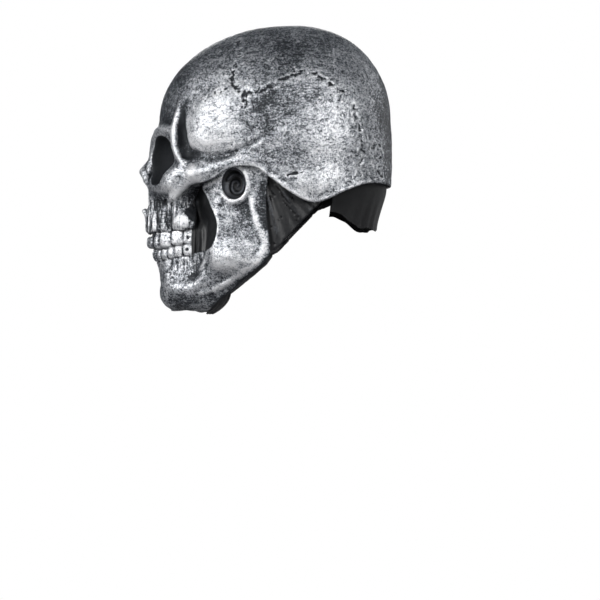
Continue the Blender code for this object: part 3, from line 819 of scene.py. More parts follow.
def relief_and_finish(made, points, outer, fine, broad, slope, grooved, hollows, zones, lines,
                      cracked=False):
    """Moves the outer face by its cracks and lumps, and keeps what the paint needs to know.

    grooved is the share, point by point, of the fine upright grooves round the teeth.
    hollows holds (shape, reach, darkness) of the places painted dark: painted shade, together with the black
    undercoat that the dry brush misses.
    """
    draws = np.random.default_rng(SEED + len(made.name))
    seam = seam_distance(points, draws) if cracked else np.full(len(points), SEAM_REACH)
    mould = mould_distance(points) if cracked else np.full(len(points), SEAM_REACH)
    height = 0.30 * lumps(points, 14.0) + 0.16 * lumps(points + 40, 5.0) + 0.08 * lumps(points, 2.2)
    upright = lumps(points * np.array([1.0, 1.0, 0.14]) + 17, 2.0)
    height -= GROOVE_DEPTH * np.clip(upright * 1.6, -0.6, 1.0) * grooved
    rear_fade = 1 - 0.42 * smooth(points[:, 1], 40, 80)
    broken = np.clip(0.8 + 0.8 * lumps(points, 3.0), 0.3, 1.2) * rear_fade
    height -= CRACK_DEPTH * np.exp(-(seam / 1.0) ** 2) * broken
    height += CRACK_LIP * np.exp(-((seam - 2.2) / 1.0) ** 2) * (1.2 - 0.6 * broken)
    height += MOULD_HEIGHT * np.exp(-(mould / 0.9) ** 2)
    set_points(made.data, points + units(slope) * (height * outer)[:, None])
    made.data.update()
    # Painted shade in and round the hollows, up to each one's darkness.
    sunk = np.zeros(len(points))
    for shape, reach, darkness in hollows:
        gap = shape.distance(np.abs(points[:, 0]), points[:, 1], points[:, 2])
        sunk = np.maximum(sunk, darkness * smooth(gap, reach, 0.25 * reach))
    attribute(made, "raised", standing_out(fine, broad) * outer)
    # The zones and edges paint highlights and shade into the silver; the lips beside the cracks take more
    # dry-brushed silver.
    lips = 0.35 * np.exp(-((seam - 2.0) / 0.9) ** 2)
    attribute(made, "rubbed", rubbed(points, zones, lines) + lips)
    attribute(made, "grooved", grooved)
    attribute(made, "sunk", sunk)
    attribute(made, "crack", np.exp(-(seam / 1.05) ** 2) * broken * outer)
    patchy = np.clip(0.5 + lumps(points, 9.0), 0, 1)
    attribute(made, "mould", np.exp(-(mould / 0.8) ** 2) * patchy * outer)
    attribute(made, "outer_face", outer)
    return made


def clay_object(name, clay, rounds, lump):
    """A small solid piece, pushed about by lumps of the given height in mm."""
    points, quads = finished_surface(clay.field, clay.low, clay.step, rounds)
    made = mesh_object(name, points, quads)
    fine = sample(occupancy(clay.field, 2), clay.low, clay.step, points)
    broad = sample(occupancy(clay.field, 5), clay.low, clay.step, points)
    height = lump * lumps(points, 3.0) + 0.5 * lump * lumps(points, 1.5)
    points = points + units(slope_at(clay.field, clay.low, clay.step, points)) * height[:, None]
    set_points(made.data, points)
    attribute(made, "raised", standing_out(fine, broad))
    attribute(made, "outer_face", np.ones(len(points)))
    return made


# ---------------------------------------------------------------- teeth
def tooth_row(name, form, limits, gum, edge, level, draws):
    """A strip of chunky crowns on a flange that is tucked behind the casting's rim."""
    clay = Clay((-44, -116, -90), (44, -60, -46), TOOTH_VOXEL)
    row = Arch(form, level, limits[-1])
    up = 1 if gum(-90) > edge(-90) else -1
    for near, far in zip(limits, limits[1:]):
        start, stop = row.length_at(near), row.length_at(far)
        width = stop - start
        for side in (1, -1):
            x, y, heading = row.place((start + stop) / 2, 4.0)
            top, low = gum(y) + 0.3 * up, edge(y) + 0.5 * up + draws.uniform(-0.35, 0.35)
            middle, tall = (top + low) / 2, abs(top - low) / 2 + 0.3
            turn = rotation(yaw=side * (heading + draws.uniform(-5, 5)), roll=draws.uniform(-3, 3))
            out = draws.uniform(-0.35, 0.35) + (5.4 * smooth(y, -92, -107) if up > 0 else 0.0)
            spot = (side * x, y + out, middle)
            clay.add(Ball(spot, (width / 2 - 0.15, 4.4, tall), turn, 4.6), 0.6)
            bulge = (side * (x + 0.2), y - 0.2, middle - 0.2 * tall * up)
            clay.add(Ball(bulge, (width / 2 - 0.7, 4.8, tall * 0.72), turn, 3.2), 1.6)
    for step in np.arange(1.0, row.lengths[-1] - 1.0, 3.0):
        x, y, heading = row.place(step, 6.2)
        for side in (1, -1):
            clay.add(Ball((side * x, y, gum(y) + 1.2 * up), (3.4, 1.9, 6.0),
                          rotation(yaw=side * heading), 3.0), 1.2)
    # A small pit in the side of each last tooth.
    x, y, _ = row.place(row.length_at(limits[-1]) - 5.6, -0.9)
    for side in (1, -1):
        clay.cut(Ball((side * x, y, (gum(y) + edge(y)) / 2 - 0.6 * up), (1.9, 1.7, 1.5)), 0.6)
    made = clay_object(name, clay, 2, 0.16)
    # The front teeth are painted darker, as painted shade.
    attribute(made, "rubbed", -0.55 * smooth(mesh_points(made)[:, 1], -90, -104))
    return made


# ---------------------------------------------------------------- ear cups
def ear_cup(name, side):
    """The bowl inside an ear hole, with the curl of a generic ear sculpted in its floor."""
    cx, cy, cz = EAR[0] - 4.0, EAR[1], EAR[2]
    clay = Clay((min(side * (cx - 13), side * (cx + 9)), cy - 17, cz - 20),
                (max(side * (cx - 13), side * (cx + 9)), cy + 17, cz + 20), TOOTH_VOXEL)
    clay.add(Ball((side * cx, cy, cz), (10.0, 13.6, 16.6), None, 2.4), 1)
    clay.cut(Ball((side * cx, cy, cz), (8.2, 11.9, 14.9), None, 2.4), 1)
    clay.keep(jaw_form(np.abs(clay.x), clay.y, clay.z) + 0.8, 0.5)
    curl = []
    for step in range(26):
        share = step / 25
        angle = math.radians(150 - 520 * share)
        radius = 9.2 * (1 - share) ** 0.8 + 1.6
        floor = cx - 8.2 + 3.2 * smooth(radius, 4, 10)
        curl.append((side * floor, cy + 2.0 + radius * 0.8 * math.cos(angle),
                     cz - 1.0 + radius * math.sin(angle), 1.9 - 0.7 * share))
    clay.add(Rope(curl), 1.2)
    return clay_object(name, clay, 2, 0.1)


# ---------------------------------------------------------------- sheets drawn point by point
def sheet_object(name, point, across, down, thickness):
    """A thin sheet from point(u, v), with u and v from 0 to 1, thickened to both sides."""
    columns = across + 1
    points = np.array([point(i / across, j / down) for j in range(down + 1) for i in range(columns)])
    corners = [j * columns + i for j in range(down) for i in range(across)]
    made = mesh_object(name, points, [(k, k + 1, k + 1 + columns, k + columns) for k in corners])
    wall = made.modifiers.new("thickness", "SOLIDIFY")
    wall.thickness = thickness * MM
    wall.offset = 0
    wall.use_even_offset = True
    settle(made)
    made.data.shade_smooth()
    return made, points.reshape(down + 1, columns, 3)


def flat_size(grid):
    """The flat width and length of a sheet and its area, in metres, from its grid of points."""
    width = np.linalg.norm(np.diff(grid, axis=1), axis=2).sum(axis=1).max() * MM
    length = np.linalg.norm(np.diff(grid, axis=0), axis=2).sum(axis=0).max() * MM
    a, b = grid[1:, :-1] - grid[:-1, :-1], grid[:-1, 1:] - grid[:-1, :-1]
    c, d = grid[:-1, 1:] - grid[1:, 1:], grid[1:, :-1] - grid[1:, 1:]
    area = 0.5 * (np.linalg.norm(np.cross(a, b), axis=2).sum()
                  + np.linalg.norm(np.cross(c, d), axis=2).sum()) * MM * MM
    return float(width), float(length), float(area)


# ---------------------------------------------------------------- materials
class Look:
    """A procedural material, in the piece's own coordinates in metres."""

    def __init__(self, name):
        self.made = bpy.data.materials.new(name)
        self.made.use_nodes = True
        self.tree = self.made.node_tree
        self.shader = self.tree.nodes["Principled BSDF"]
        self.place = self.tree.nodes.new("ShaderNodeTexCoord").outputs["Object"]

    def put(self, value, socket):
        if hasattr(value, "is_linked"):
            self.tree.links.new(value, socket)
        else:
            socket.default_value = value

    def set(self, name, value):
        self.put(value, self.shader.inputs[name])

    def node(self, kind, values):
        """A node with values, or other nodes' results, put into its named sockets."""
        made = self.tree.nodes.new("ShaderNode" + kind)
        for name, value in values.items():
            self.put(value, made.inputs[name])
        return made

    def sum(self, operation, a, b=0.0, c=0.0, clamp=False):
        made = self.tree.nodes.new("ShaderNodeMath")
        made.operation = operation
        made.use_clamp = clamp
        for value, socket in zip((a, b, c), made.inputs):
            self.put(value, socket)
        return made.outputs[0]

    def add_up(self, terms, start=0.0):
        """start plus each value times its weight."""
        total = start
        for value, weight in terms:
            total = self.sum("MULTIPLY_ADD", value, weight, total)
        return total

    def even(self, value):
        """A value from 0 to 1, shifted to swing about zero."""
        return self.sum("SUBTRACT", value, 0.5)

    def between(self, share, a, b):
        return self.sum("MULTIPLY_ADD", share, b - a, a)

    def stretched(self, scale, turn=(0.0, 0.0, 0.0)):
        return self.node("Mapping", {"Vector": self.place, "Scale": scale, "Rotation": turn}).outputs[0]

    def noise(self, scale, detail=3.0, roughness=0.6, distortion=0.0, vector=None):
        return self.node("TexNoise", {"Vector": vector or self.place, "Scale": scale, "Detail": detail,
                                      "Roughness": roughness, "Distortion": distortion}).outputs["Fac"]

    def threads(self, scale, direction):
        made = self.node("TexWave", {"Vector": self.place, "Scale": scale, "Distortion": 0.6,
                                     "Detail": 1.0})
        made.bands_direction = direction
        return made.outputs["Fac"]

    def pores(self, scale):
        return self.node("TexVoronoi", {"Vector": self.place, "Scale": scale}).outputs["Distance"]

    def stored(self, name):
        made = self.node("Attribute", {})
        made.attribute_name = name
        return made.outputs["Fac"]

    def step(self, value, start, end):
        made = self.node("MapRange", {"Value": value, "From Min": start, "From Max": end})
        made.interpolation_type = "SMOOTHSTEP"
        return made.outputs[0]

    def blend(self, share, a, b):
        made = self.tree.nodes.new("ShaderNodeMix")
        made.data_type = "RGBA"
        self.put(share, made.inputs[0])
        for value, socket in ((a, made.inputs[6]), (b, made.inputs[7])):
            self.put(value if hasattr(value, "is_linked") else (*value, 1.0), socket)
        return made.outputs[2]

    def bump(self, height, distance):
        """Relief of the given distance in mm."""
        self.set("Normal", self.node("Bump", {"Distance": distance * MM, "Height": height}).outputs[0])


GUNMETAL = (0.013, 0.015, 0.018)
PEWTER = (0.13, 0.14, 0.155)
SILVER = (0.46, 0.475, 0.50)
BRIGHT = (0.86, 0.86, 0.87)


def brushed_silver(name, more=0.0):
    """Silver dry-brushed over dark latex: it stays on what stands out and skips the hollows. Painted
    highlights and painted shade are laid into how much of it covers.
    """
    look = Look(name)
    grain = look.noise(560.0, 5.0, 0.75, 0.3)
    specks = look.noise(1500.0, 2.0, 0.6)
    upright = look.noise(430.0, 3.0, 0.6, 0.5, look.stretched((1.0, 1.0, 0.13)))
    grooves = look.sum("MULTIPLY", look.even(upright), look.stored("grooved"))
    strokes = look.noise(330.0, 4.0, 0.65, 1.2, look.stretched((1.0, 0.30, 1.0), (0.35, 0, 0)))
    worms = look.noise(190.0, 2.0, 0.5, 1.6, look.stretched((0.7, 0.8, 1.0)))
    wrinkle = look.step(look.sum("ABSOLUTE", look.even(worms)), 0.035, 0.0)
    clouds = look.noise(26.0, 3.0, 0.55)
    blotches = look.noise(170.0, 3.0, 0.6, 0.5)
    raised = look.stored("raised")
    ragged = look.sum("MULTIPLY_ADD", look.noise(420.0, 3.0, 0.6), 1.1, look.stored("crack"))
    crack = look.step(ragged, 0.80, 1.15)
    # The second stored value lays painted highlights and painted shade into the coverage.
    sunk, rub_and_light = look.stored("sunk"), look.stored("rubbed")
    speckle = look.add_up([(look.even(grain), 3.6), (look.even(specks), 1.8),
                           (look.even(strokes), 2.1), (wrinkle, -0.62), (grooves, 6.0)])
    # In the hollows the coverage falls away, as painted shade.
    coverage = look.add_up([(speckle, 1.0), (raised, 1.15), (rub_and_light, 1.0), (look.even(clouds), 1.2),
                            (look.even(blotches), 1.3), (crack, -2.1), (look.stored("mould"), 0.6),
                            (sunk, -2.6)], more)
    thin_coat = look.step(coverage, -0.30, 0.40)
    thick = look.step(coverage, 0.10, 0.80)
    burnished = look.step(coverage, 0.60, 1.50)
    colour = look.blend(thin_coat, GUNMETAL, PEWTER)
    colour = look.blend(thick, colour, SILVER)
    colour = look.blend(burnished, colour, BRIGHT)
    outer = look.stored("outer_face")
    bare = look.blend(look.noise(160.0, 4.0, 0.6), (0.020, 0.021, 0.023), (0.045, 0.046, 0.050))
    look.set("Base Color", look.blend(outer, bare, colour))
    metal = look.between(thin_coat, 0.20, 0.72)
    look.set("Metallic", look.sum("MULTIPLY", metal, outer))
    rough = look.between(thick, 0.48, 0.36)
    look.set("Roughness", look.add_up([(look.even(grain), 0.25), (sunk, 0.3)], rough))
    look.shader.inputs["Specular IOR Level"].default_value = 0.35
    look.bump(look.add_up([(grain, 0.8), (strokes, 0.4), (wrinkle, -0.25), (specks, 0.15),
                           (crack, -0.8), (grooves, 2.5)]), 0.55)
    return look.made


def dark_latex(name):
    """Charcoal latex with faint dry-brushed silver and a painted sheen on its folds."""
    look = Look(name)
    grain = look.noise(520.0, 4.0, 0.65)
    clouds = look.noise(60.0, 3.0, 0.5)
    # Lighter and more metallic on the folds: dry-brushed silver and painted sheen.
    raised = look.stored("raised")
    bloom_and_sheen = look.step(look.add_up([(raised, 0.9), (look.even(grain), 1.3),
                                   (look.even(clouds), 0.8)]), 0.45, 1.05)
    look.set("Base Color", look.blend(bloom_and_sheen, (0.005, 0.0055, 0.0065), (0.075, 0.08, 0.09)))
    look.set("Metallic", look.sum("MULTIPLY", bloom_and_sheen, 0.6))
    look.set("Roughness", look.between(grain, 0.36, 0.58))
    look.bump(look.add_up([(grain, 0.6), (clouds, 0.8)]), 0.35)
    return look.made


def woven(name, colour, lighter, across, along, depth, roughness, sheen):
    """Cloth, tape, elastic or mesh: two sets of threads, at so many a metre."""
    look = Look(name)
    warp, weft = look.threads(across, "Y"), look.threads(along, "Z")
    fuzz = look.noise(900.0, 4.0, 0.7)
    folds = look.noise(35.0, 2.0, 0.5)
    weave = look.sum("MULTIPLY", warp, weft)
    share = look.add_up([(weave, 0.6), (fuzz, 0.35), (folds, 0.25)], -0.15)
    look.set("Base Color", look.blend(look.sum("MULTIPLY", share, 1.0, 0.0, True), colour, lighter))
    look.set("Roughness", look.between(fuzz, roughness - 0.1, roughness + 0.1))
    look.shader.inputs["Sheen Weight"].default_value = sheen
    look.shader.inputs["Sheen Roughness"].default_value = 0.5
    look.bump(look.add_up([(weave, 1.0), (fuzz, 0.4)]), depth)
    return look.made


def foam(name):
    """Open-pored grey foam."""
    look = Look(name)
    pores, clouds = look.pores(700.0), look.noise(50.0, 3.0, 0.5)
    fine = look.noise(1600.0, 3.0, 0.7)
    share = look.add_up([(pores, 0.9), (clouds, 0.35), (fine, 0.2)], -0.1)
    look.set("Base Color", look.blend(share, (0.030, 0.030, 0.032), (0.105, 0.105, 0.11)))
    look.set("Roughness", look.between(fine, 0.88, 1.0))
    look.bump(look.add_up([(pores, 1.0), (fine, 0.4)]), 0.6)
    return look.made


def hardware(name, dark, worn, roughness, metallic, wear):
    """Blackened metal or nylon, worn lighter along its scratches."""
    look = Look(name)
    look.shader.inputs["Metallic"].default_value = metallic
    scratches = look.noise(420.0, 5.0, 0.75, 0.3, look.stretched((1.0, 1.0, 0.3)))
    clouds = look.noise(180.0, 3.0, 0.6)
    share = look.step(look.add_up([(scratches, 0.7), (clouds, 0.5)]), 0.72 - wear, 0.95)
    look.set("Base Color", look.blend(share, dark, worn))
    look.set("Roughness", look.between(scratches, roughness - 0.12, roughness + 0.15))
    look.bump(look.add_up([(scratches, 1.0), (clouds, 0.5)]), 0.08)
    return look.made


# ---------------------------------------------------------------- building the pieces
def finish(piece, look, body, replaces):
    """Gives a piece its material and slot, the body it rides on and the CAD nodes it replaces."""
    piece.data.materials.clear()
    piece.data.materials.append(look)
    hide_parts(*replaces)
    if body:
        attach(piece, body)


silver = brushed_silver("silver_latex")
tooth_silver = brushed_silver("tooth_latex", 0.02)
skin_latex = dark_latex("dark_latex")

# Hollows painted dark, as painted shade together with the black undercoat that the dry brush misses: the
# shape, how far round it, and how dark.
SKULL_HOLLOWS = [(SOCKET, 1.3, 1.0), (NOSE_LOW, 1.5, 0.9), (NOSE_HIGH, 1.5, 0.9), (CHEEK_SHADE, 2.4, 0.9),
                 (TEMPLE_GROOVE, 4.0, 0.26)]
# Zones of painted highlight (plus) and painted shade (minus), together with more or less dry-brushed silver:
# y, z, reach in y, reach in z, amount.
SKULL_RUB_AND_LIGHT = [(-38, 46, 20, 20, 0.42), (-50, 26, 20, 9, 0.50), (58, 25, 18, 45, 0.30),
                (-65, 1, 8, 8, 0.35), (6, 48, 24, 36, -0.55), (-85, 85, 30, 40, -0.70),
                (10, 112, 60, 26, -0.42),
                (24, 95, 16, 13, -0.22), (112, 40, 14, 60, -0.75), (-76, -42, 10, 9, 0.30),
                (-103, 2, 9, 26, -0.60), (-90, 0, 11, 14, -0.40), (-94, -36, 12, 14, -0.55),
                (-42, 4, 14, 6, -0.50), (-98, 52, 9, 14, -0.30), (34, -18, 13, 12, 0.35),
                (-83, -19, 8, 8, 0.60)]
JAW_RUB_AND_LIGHT = [(-24, -74, 20, 14, 0.10), (-36, -83, 14, 8, 0.60), (-78, -115, 22, 6, -0.35),
              (-49, -66, 7, 10, -0.45), (-25, -45, 18, 20, -0.08), (-75, -119, 40, 8, -0.45),
              (-92, -92, 8, 12, -0.30), (-62, -97, 9, 9, -0.40), (-80, -104, 12, 6, -0.15)]
# Edges painted lighter (plus) or darker (minus), as painted highlights and painted shade together with the
# silver the dry brush left there: a chain of (y, z), its reach, the amount.
SKULL_EDGES = [([(-78, 52), (-81.5, 40), (-82.5, 30), (-80.5, 20), (-76, 11)], 2.4, 0.7),
               ([(-58, -8), (-66, -11), (-73, -17), (-82, -25)], 2.4, 0.45),
               ([(-44, -6.5), (-37, -1.5), (-30, 2.2), (-21, 4), (-12, 4), (-5, 2), (0.5, -3), (8, -8.5),
                 (16.5, -15), (28, -22.5), (38, -27.5), (47, -28.5)], 1.8, 0.45),
               ([(-68, 48), (-68, 32), (-65, 20), (-56, 15.5), (-46, 13), (-37, 14)], 2.2, 0.3)]
JAW_EDGES = [([(-57.4, -15.2), (-50.7, -26.8), (-45.4, -38.4), (-42.7, -46.4), (-43.6, -55.3), (-44.6, -62.5),
               (-48.2, -69.6)], 1.9, 0.6),
             ([(-11.5, -26), (-10.4, -35), (-7, -47), (-2.4, -56.5), (0.6, -64), (0, -71.5), (-6, -82.2),
               (-17.8, -89.3), (-29.7, -97.3), (-45.5, -107.2)], 2.2, 0.6),
             ([(-1, -14), (-1.5, -34), (2.5, -50)], 4.5, -0.9),
             ([(-38, -22), (-30, -28), (-20, -24), (-15, -14), (-18, -2)], 2.2, 0.55),
             ([(6, -60), (4.5, -78), (-16, -96), (-48, -121)], 2.6, -0.6)]
# The castings. The sockets and the nose are open at their backs, where the screens lie.
socket_back = SOCKET.centre + SOCKET.turn @ np.array([0.5, 18.0, 0.0])
skull_cuts = [Ball(socket_back, (14.3, 8.5, 15.0), SOCKET.turn), Ball((3.8, -94, -18.5), (7.4, 7, 10.5))]
skull_parts = casting("skull_casting", sculpt_skull(), SKULL_TRIM, skull_cuts)
_, y, z = skull_parts[1].T
upper_grooves = smooth(z, -18, -28) * smooth(y, -58, -68)
skull = relief_and_finish(*skull_parts, upper_grooves, SKULL_HOLLOWS, SKULL_RUB_AND_LIGHT, SKULL_EDGES, True)
finish(skull, silver, "skull", ["skull_shell"])

ear_tool = Ball(EAR, (16, *EAR_RADII))
pivot_tool = Rope([(50, *PIVOT, 2.9), (80, *PIVOT, 2.9)])
jaw_parts = casting("jaw_casting", sculpt_jaw(), JAW_TRIM, [ear_tool, pivot_tool])
_, y, z = jaw_parts[1].T
lower_grooves = 0.75 * smooth(y, -48, -62) * smooth(z, -104, -84) * smooth(z, -66, -76)
jaw = relief_and_finish(*jaw_parts, lower_grooves, [], JAW_RUB_AND_LIGHT, JAW_EDGES)
finish(jaw, silver, "jaw", ["jaw_shell"])

tooth_draws = np.random.default_rng(SEED + 1)
upper_teeth = tooth_row("upper_tooth_strip", head_form, UPPER_LIMITS, upper_gum,
                        lambda y: bite(y) + 0.1, UPPER_ROW_Z, tooth_draws)
finish(upper_teeth, tooth_silver, "skull", ["upper_teeth"])
lower_teeth = tooth_row("lower_tooth_strip", jaw_form, LOWER_LIMITS, lower_gum,
                        lambda y: bite(y) - 0.2, LOWER_ROW_Z, tooth_draws)
finish(lower_teeth, tooth_silver, "jaw", ["lower_teeth"])

SIDES = (("left", 1), ("right", -1))
for side_name, side in SIDES:
    cup = ear_cup(f"ear_concha_{side_name}", side)
    finish(cup, skin_latex, "jaw", [f"ear_cup_{side_name}"])

# The cheek skins' rear edge, as (z, y), then as (z, x) inside the jaw.
CHEEK_REAR = [(-9, -50), (-20, -49), (-47, -38.5), (-60, -39.5), (-79, -45)]
rear_z, rear_y = np.array(CHEEK_REAR, float).T
CHEEK_END = list(zip(rear_z, side_of(jaw_form, rear_y, rear_z, 2.2)))


def cheek_point(side):
    """The folded skin between the upper jaw and the ramus, as point(u, v)."""
    def point(u, v):
        z = -9.0 - 70.0 * v
        rear = float(curve(CHEEK_REAR, z))
        y = -67.0 + (rear + 67.0) * u
        tucked = 7.5 * float(smooth(z, -54, -42))
        end = float(curve(CHEEK_END, z))
        x = float(curve([(0, 33.0 - tucked), (0.3, 36.0 - 0.5 * tucked), (0.6, 44.5), (1.0, end)], u))
        x -= 5.5 * math.sin(math.pi * min(u * 1.1, 1.0)) * (1 - 0.4 * v)
        fold = 2.6 * math.exp(-((u - 0.36 - 0.12 * (v - 0.7)) / 0.085) ** 2) * float(smooth(v, 0.45, 0.7))
        fold -= 1.5 * math.exp(-((u - 0.16) / 0.05) ** 2) + 1.3 * math.exp(-((u - 0.55) / 0.06) ** 2) * v
        fold += 2.2 * math.exp(-((u - 0.26) / 0.12) ** 2 - ((v - 0.24) / 0.07) ** 2)
        fold += 0.6 * math.sin(9 * u + 5 * v) * math.sin(7 * v)
        return side * (x + fold), y, z
    return point


def sculpt_neck():
    """The dark skin behind the ramus, with soft folds that fan out from the ear."""
    clay = Clay((0, -20, -84), (74, 62, 6), VOXEL * 1.25)
    clay.set_form(jaw_form)
    y, z = clay.y, clay.z
    angle = np.arctan2(z - 10, y + 8)
    folds = 0.9 * np.sin(angle * 13) * smooth(z, -5, -30) + 0.5 * np.sin(angle * 29 + y * 0.1)
    bulge = 1.2 * smooth(y, 6, 20) * smooth(z, -70, -30)
    clay.field = (clay.field + 3.9 - folds - bulge).astype(np.float32)
    return clay


NECK_TRIM = [(-13, -74), (-12, -6), (8, 2), (30, -9), (50, -19), (56, -23.5), (45, -34.2), (27.9, -52.3),
             (6, -76)]
necks, _, outer, fine, broad, _ = casting("neck_skins", sculpt_neck(), NECK_TRIM, (), NECK_SKIN)
# How far the skin stands out, lifted so that the folds take a painted sheen.
attribute(necks, "raised", np.clip(0.35 + (0.5 - fine) * 4 + (0.5 - broad) * 3, 0, 1) * outer)


def half_of(piece, name, side):
    """A copy of a piece with only the faces of one side."""
    made = piece.copy()
    made.data = piece.data.copy()
    made.name = name
    bpy.context.scene.collection.objects.link(made)
    shape = bmesh.new()
    shape.from_mesh(made.data)
    bmesh.ops.delete(shape, geom=[vert for vert in shape.verts if vert.co.x * side < 0], context="VERTS")
    shape.to_mesh(made.data)
    shape.free()
    return made


for side_name, side in SIDES:
    cheek, _ = sheet_object(f"cheek_skin_{side_name}", cheek_point(side), 60, 90, CHEEK_SKIN)
    _, y, z = mesh_points(cheek).T
    # Painted sheen on the lower folds and a painted highlight on the fold below the cheekbone, stored with
    # how far the skin stands out.
    bloom_and_sheen = 0.38 * smooth(y, -66, -57) * smooth(z, -30, -70)
    glint = 1.1 * np.exp(-((y + 62.5) / 3.0) ** 2 - ((z + 27.5) / 3.5) ** 2)
    attribute(cheek, "raised", 0.05 + bloom_and_sheen + glint)
    finish(cheek, skin_latex, None, [f"cheek_gusset_{side_name}"])
    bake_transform(cheek)
    neck = half_of(necks, f"neck_skin_{side_name}", side)
    finish(neck, skin_latex, "jaw", [f"neck_skirt_{side_name}"])
bpy.data.objects.remove(necks)

# Screens: black mesh stretched over the backs of the sockets and the nose.
mesh_cloth = woven("screen_mesh", (0.002, 0.0025, 0.004), (0.010, 0.011, 0.014),
                   620.0, 620.0, 0.25, 0.9, 0.0)


def disc(u, v):
    """Evenly spreads a square's (u, v) over a round disc of radius 1."""
    a, b = 2 * u - 1, 2 * v - 1
    return a * math.sqrt(1 - b * b / 2), b * math.sqrt(1 - a * a / 2)


def eye_screen_point(side):
    """A screen just behind a socket's wall, as point(u, v)."""
    gap = SKIN + 0.8
    wide, deep, tall = (radius + gap for radius in ORBIT_RADII)

    def point(u, v):
        across, up = disc(u, v)
        across, up = across * 17.5 - 1.0, up * 17.5
        share = 1 - abs(across / wide) ** ORBIT_POWER - abs(up / tall) ** ORBIT_POWER
        x, y, z = SOCKET.centre + SOCKET.turn @ np.array([across, deep * share ** (1 / ORBIT_POWER), up])
        return side * x, y, z
    return point


def nose_screen_point(u, v):
    across, up = disc(u, v)
    return across * 14.0, -87.0 + 2.5 * across ** 2, -18.5 + up * 14.5


SCREENS = [("eye_screen_left", "eye_mesh_left", eye_screen_point(1), 28),
           ("eye_screen_right", "eye_mesh_right", eye_screen_point(-1), 28),
           ("nose_screen", "nose_mesh", nose_screen_point, 24)]
for name, node, point, cells in SCREENS:
    screen, grid = sheet_object(name, point, cells, cells, SCREEN)
    finish(screen, mesh_cloth, "skull", [node])
    width, length, area = flat_size(grid)

# Nape cloth: hangs from inside the rear rim, slightly gathered, with a wavy hem.
jersey = woven("black_jersey", (0.002, 0.0022, 0.0026), (0.010, 0.0108, 0.0125),
               420.0, 420.0, 0.35, 0.88, 0.12)


def rim_height(y):
    """The level of the skull's rear rim."""
    return float(np.interp(y, *zip(*REAR_EDGE)))


def behind(angle, half, back):
    """The (x, y) of a rounded level outline, half wide at the ears, that ends at y = back."""
    y = WIDE_Y + (back - WIDE_Y) * math.cos(angle) ** 0.87
    return half * math.copysign(abs(math.sin(angle)) ** 0.87, angle), y


def set_in(x, y, half, back, inward, narrower):
    """Moves an (x, y) of that outline forwards by inward, and inwards by a share of its width."""
    deep = (y - WIDE_Y) / (back - WIDE_Y)
    return x * (1 - narrower / math.hypot(x / half, deep)), y - inward * deep


def nape_point(u, v):
    """u runs round the back from the right front edge to the left one, v from the rim down."""
    half, back = 64.5, 113.2
    x, y = behind(math.radians(-68.0 + 136.0 * u), half, back)
    top = rim_height(y) + 5.0
    ripple = 0.5 * math.sin(u * 70 + 1.3 * math.sin(u * 17)) + 0.9 * math.sin(u * 27 + 2.0)
    low = -51.5 + 0.9 * math.sin(u * 19) + 0.5 * math.sin(u * 53 + 1)
    low += 15.0 * float(smooth(abs(u - 0.5), 0.26, 0.5))
    z = top + (low - top) * v
    inward = 1.6 + 9.5 * float(smooth(-z, 12, 52)) - ripple * float(smooth(v, 0.15, 0.9)) * 0.9
    return *set_in(x, y, half, back, inward, inward / 70), z


nape, grid = sheet_object("nape_cloth", nape_point, 150, 44, CLOTH)
finish(nape, jersey, None, ["nape_panel"])
width, length, area = flat_size(grid)
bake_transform(nape)

tape_cloth = woven("seam_tape", (0.006, 0.006, 0.007), (0.030, 0.030, 0.033), 700.0, 700.0, 0.2, 0.9, 0.1)


def tape_point(u, v):
    """u runs round the back as on the cloth, v from the tape's upper edge down."""
    half, back = 75.0, 115.8
    x, y = behind(math.radians(-60.0 + 120.0 * u), half, back)
    return *set_in(x, y, half, back, 3.7, 3.6 / half), rim_height(y) + 13.6 - TAPE_WIDTH * v


tape, grid = sheet_object("nape_tape", tape_point, 120, 8, TAPE)
finish(tape, tape_cloth, "skull", ["nape_seam_tape"])
width, length, area = flat_size(grid)

# Foam pads: the head's own form, set in, with rounded edges.
grey_foam = foam("grey_foam")


def pad(name, form, low, high, start, depth, tool, node, body, voxel=FOAM_VOXEL):
    """Foam that begins at a depth inside a form, as thick as depth says, within a tool's shape."""
    clay = Clay(low, high, voxel)
    clay.set_form(form)
    inner = clay.field + start
    clay.field = carve(inner, -(inner + depth), depth * 0.5)
    clay.keep(tool.distance(clay.x, clay.y, clay.z), depth * 0.8)
    made = clay_object(name, clay, 3, 0.25)
    finish(made, grey_foam, body, [node])


pad("crown_foam", head_form, (-46, -36, 96), (46, 80, 140), SKIN + 0.6, CROWN_FOAM,
    Ball((0, 22, 120), (37, 45, 60), None, 2.6), "crown_pad", "skull")
pad("brow_foam", head_form, (-50, -104, 40), (50, -56, 84), SKIN + 0.6, BROW_FOAM,
    Ball((0, -80, 62), (43, 60, 14), None, 3.2), "brow_pad", "skull")
pad("occiput_foam", head_form, (-46, 66, 8), (46, 122, 92), SKIN + 0.6, OCCIPUT_FOAM,
    Ball((0, 95, 50), (39, 60, 33), None, 2.8), "occiput_pad", "skull")
pad("chin_foam", jaw_form, (-30, -104, -130), (30, -44, -88), SKIN + 0.5, CHIN_FOAM,
    Ball((0, -80, -111), (22, 26, 15), rotation(pitch=-35), 2.6), "chin_cup", "jaw", 1.4)

# The chin elastic: a ribbed band under the chin, its ends stitched inside the jaw.
elastic = woven("black_elastic", (0.004, 0.004, 0.005), (0.026, 0.026, 0.029), 900.0, 300.0, 0.4, 0.85, 0.2)


def strap_point(u, v):
    angle = math.pi * u
    x, z = 34.0 * math.cos(angle), -104.0 - 24.6 * math.sin(angle)
    y = -37.0 - 15.0 * math.sin(angle) ** 2.6
    return x, y - 3.5 + 7.0 * v, z + 0.25 * math.cos(2 * math.pi * (v * 3))


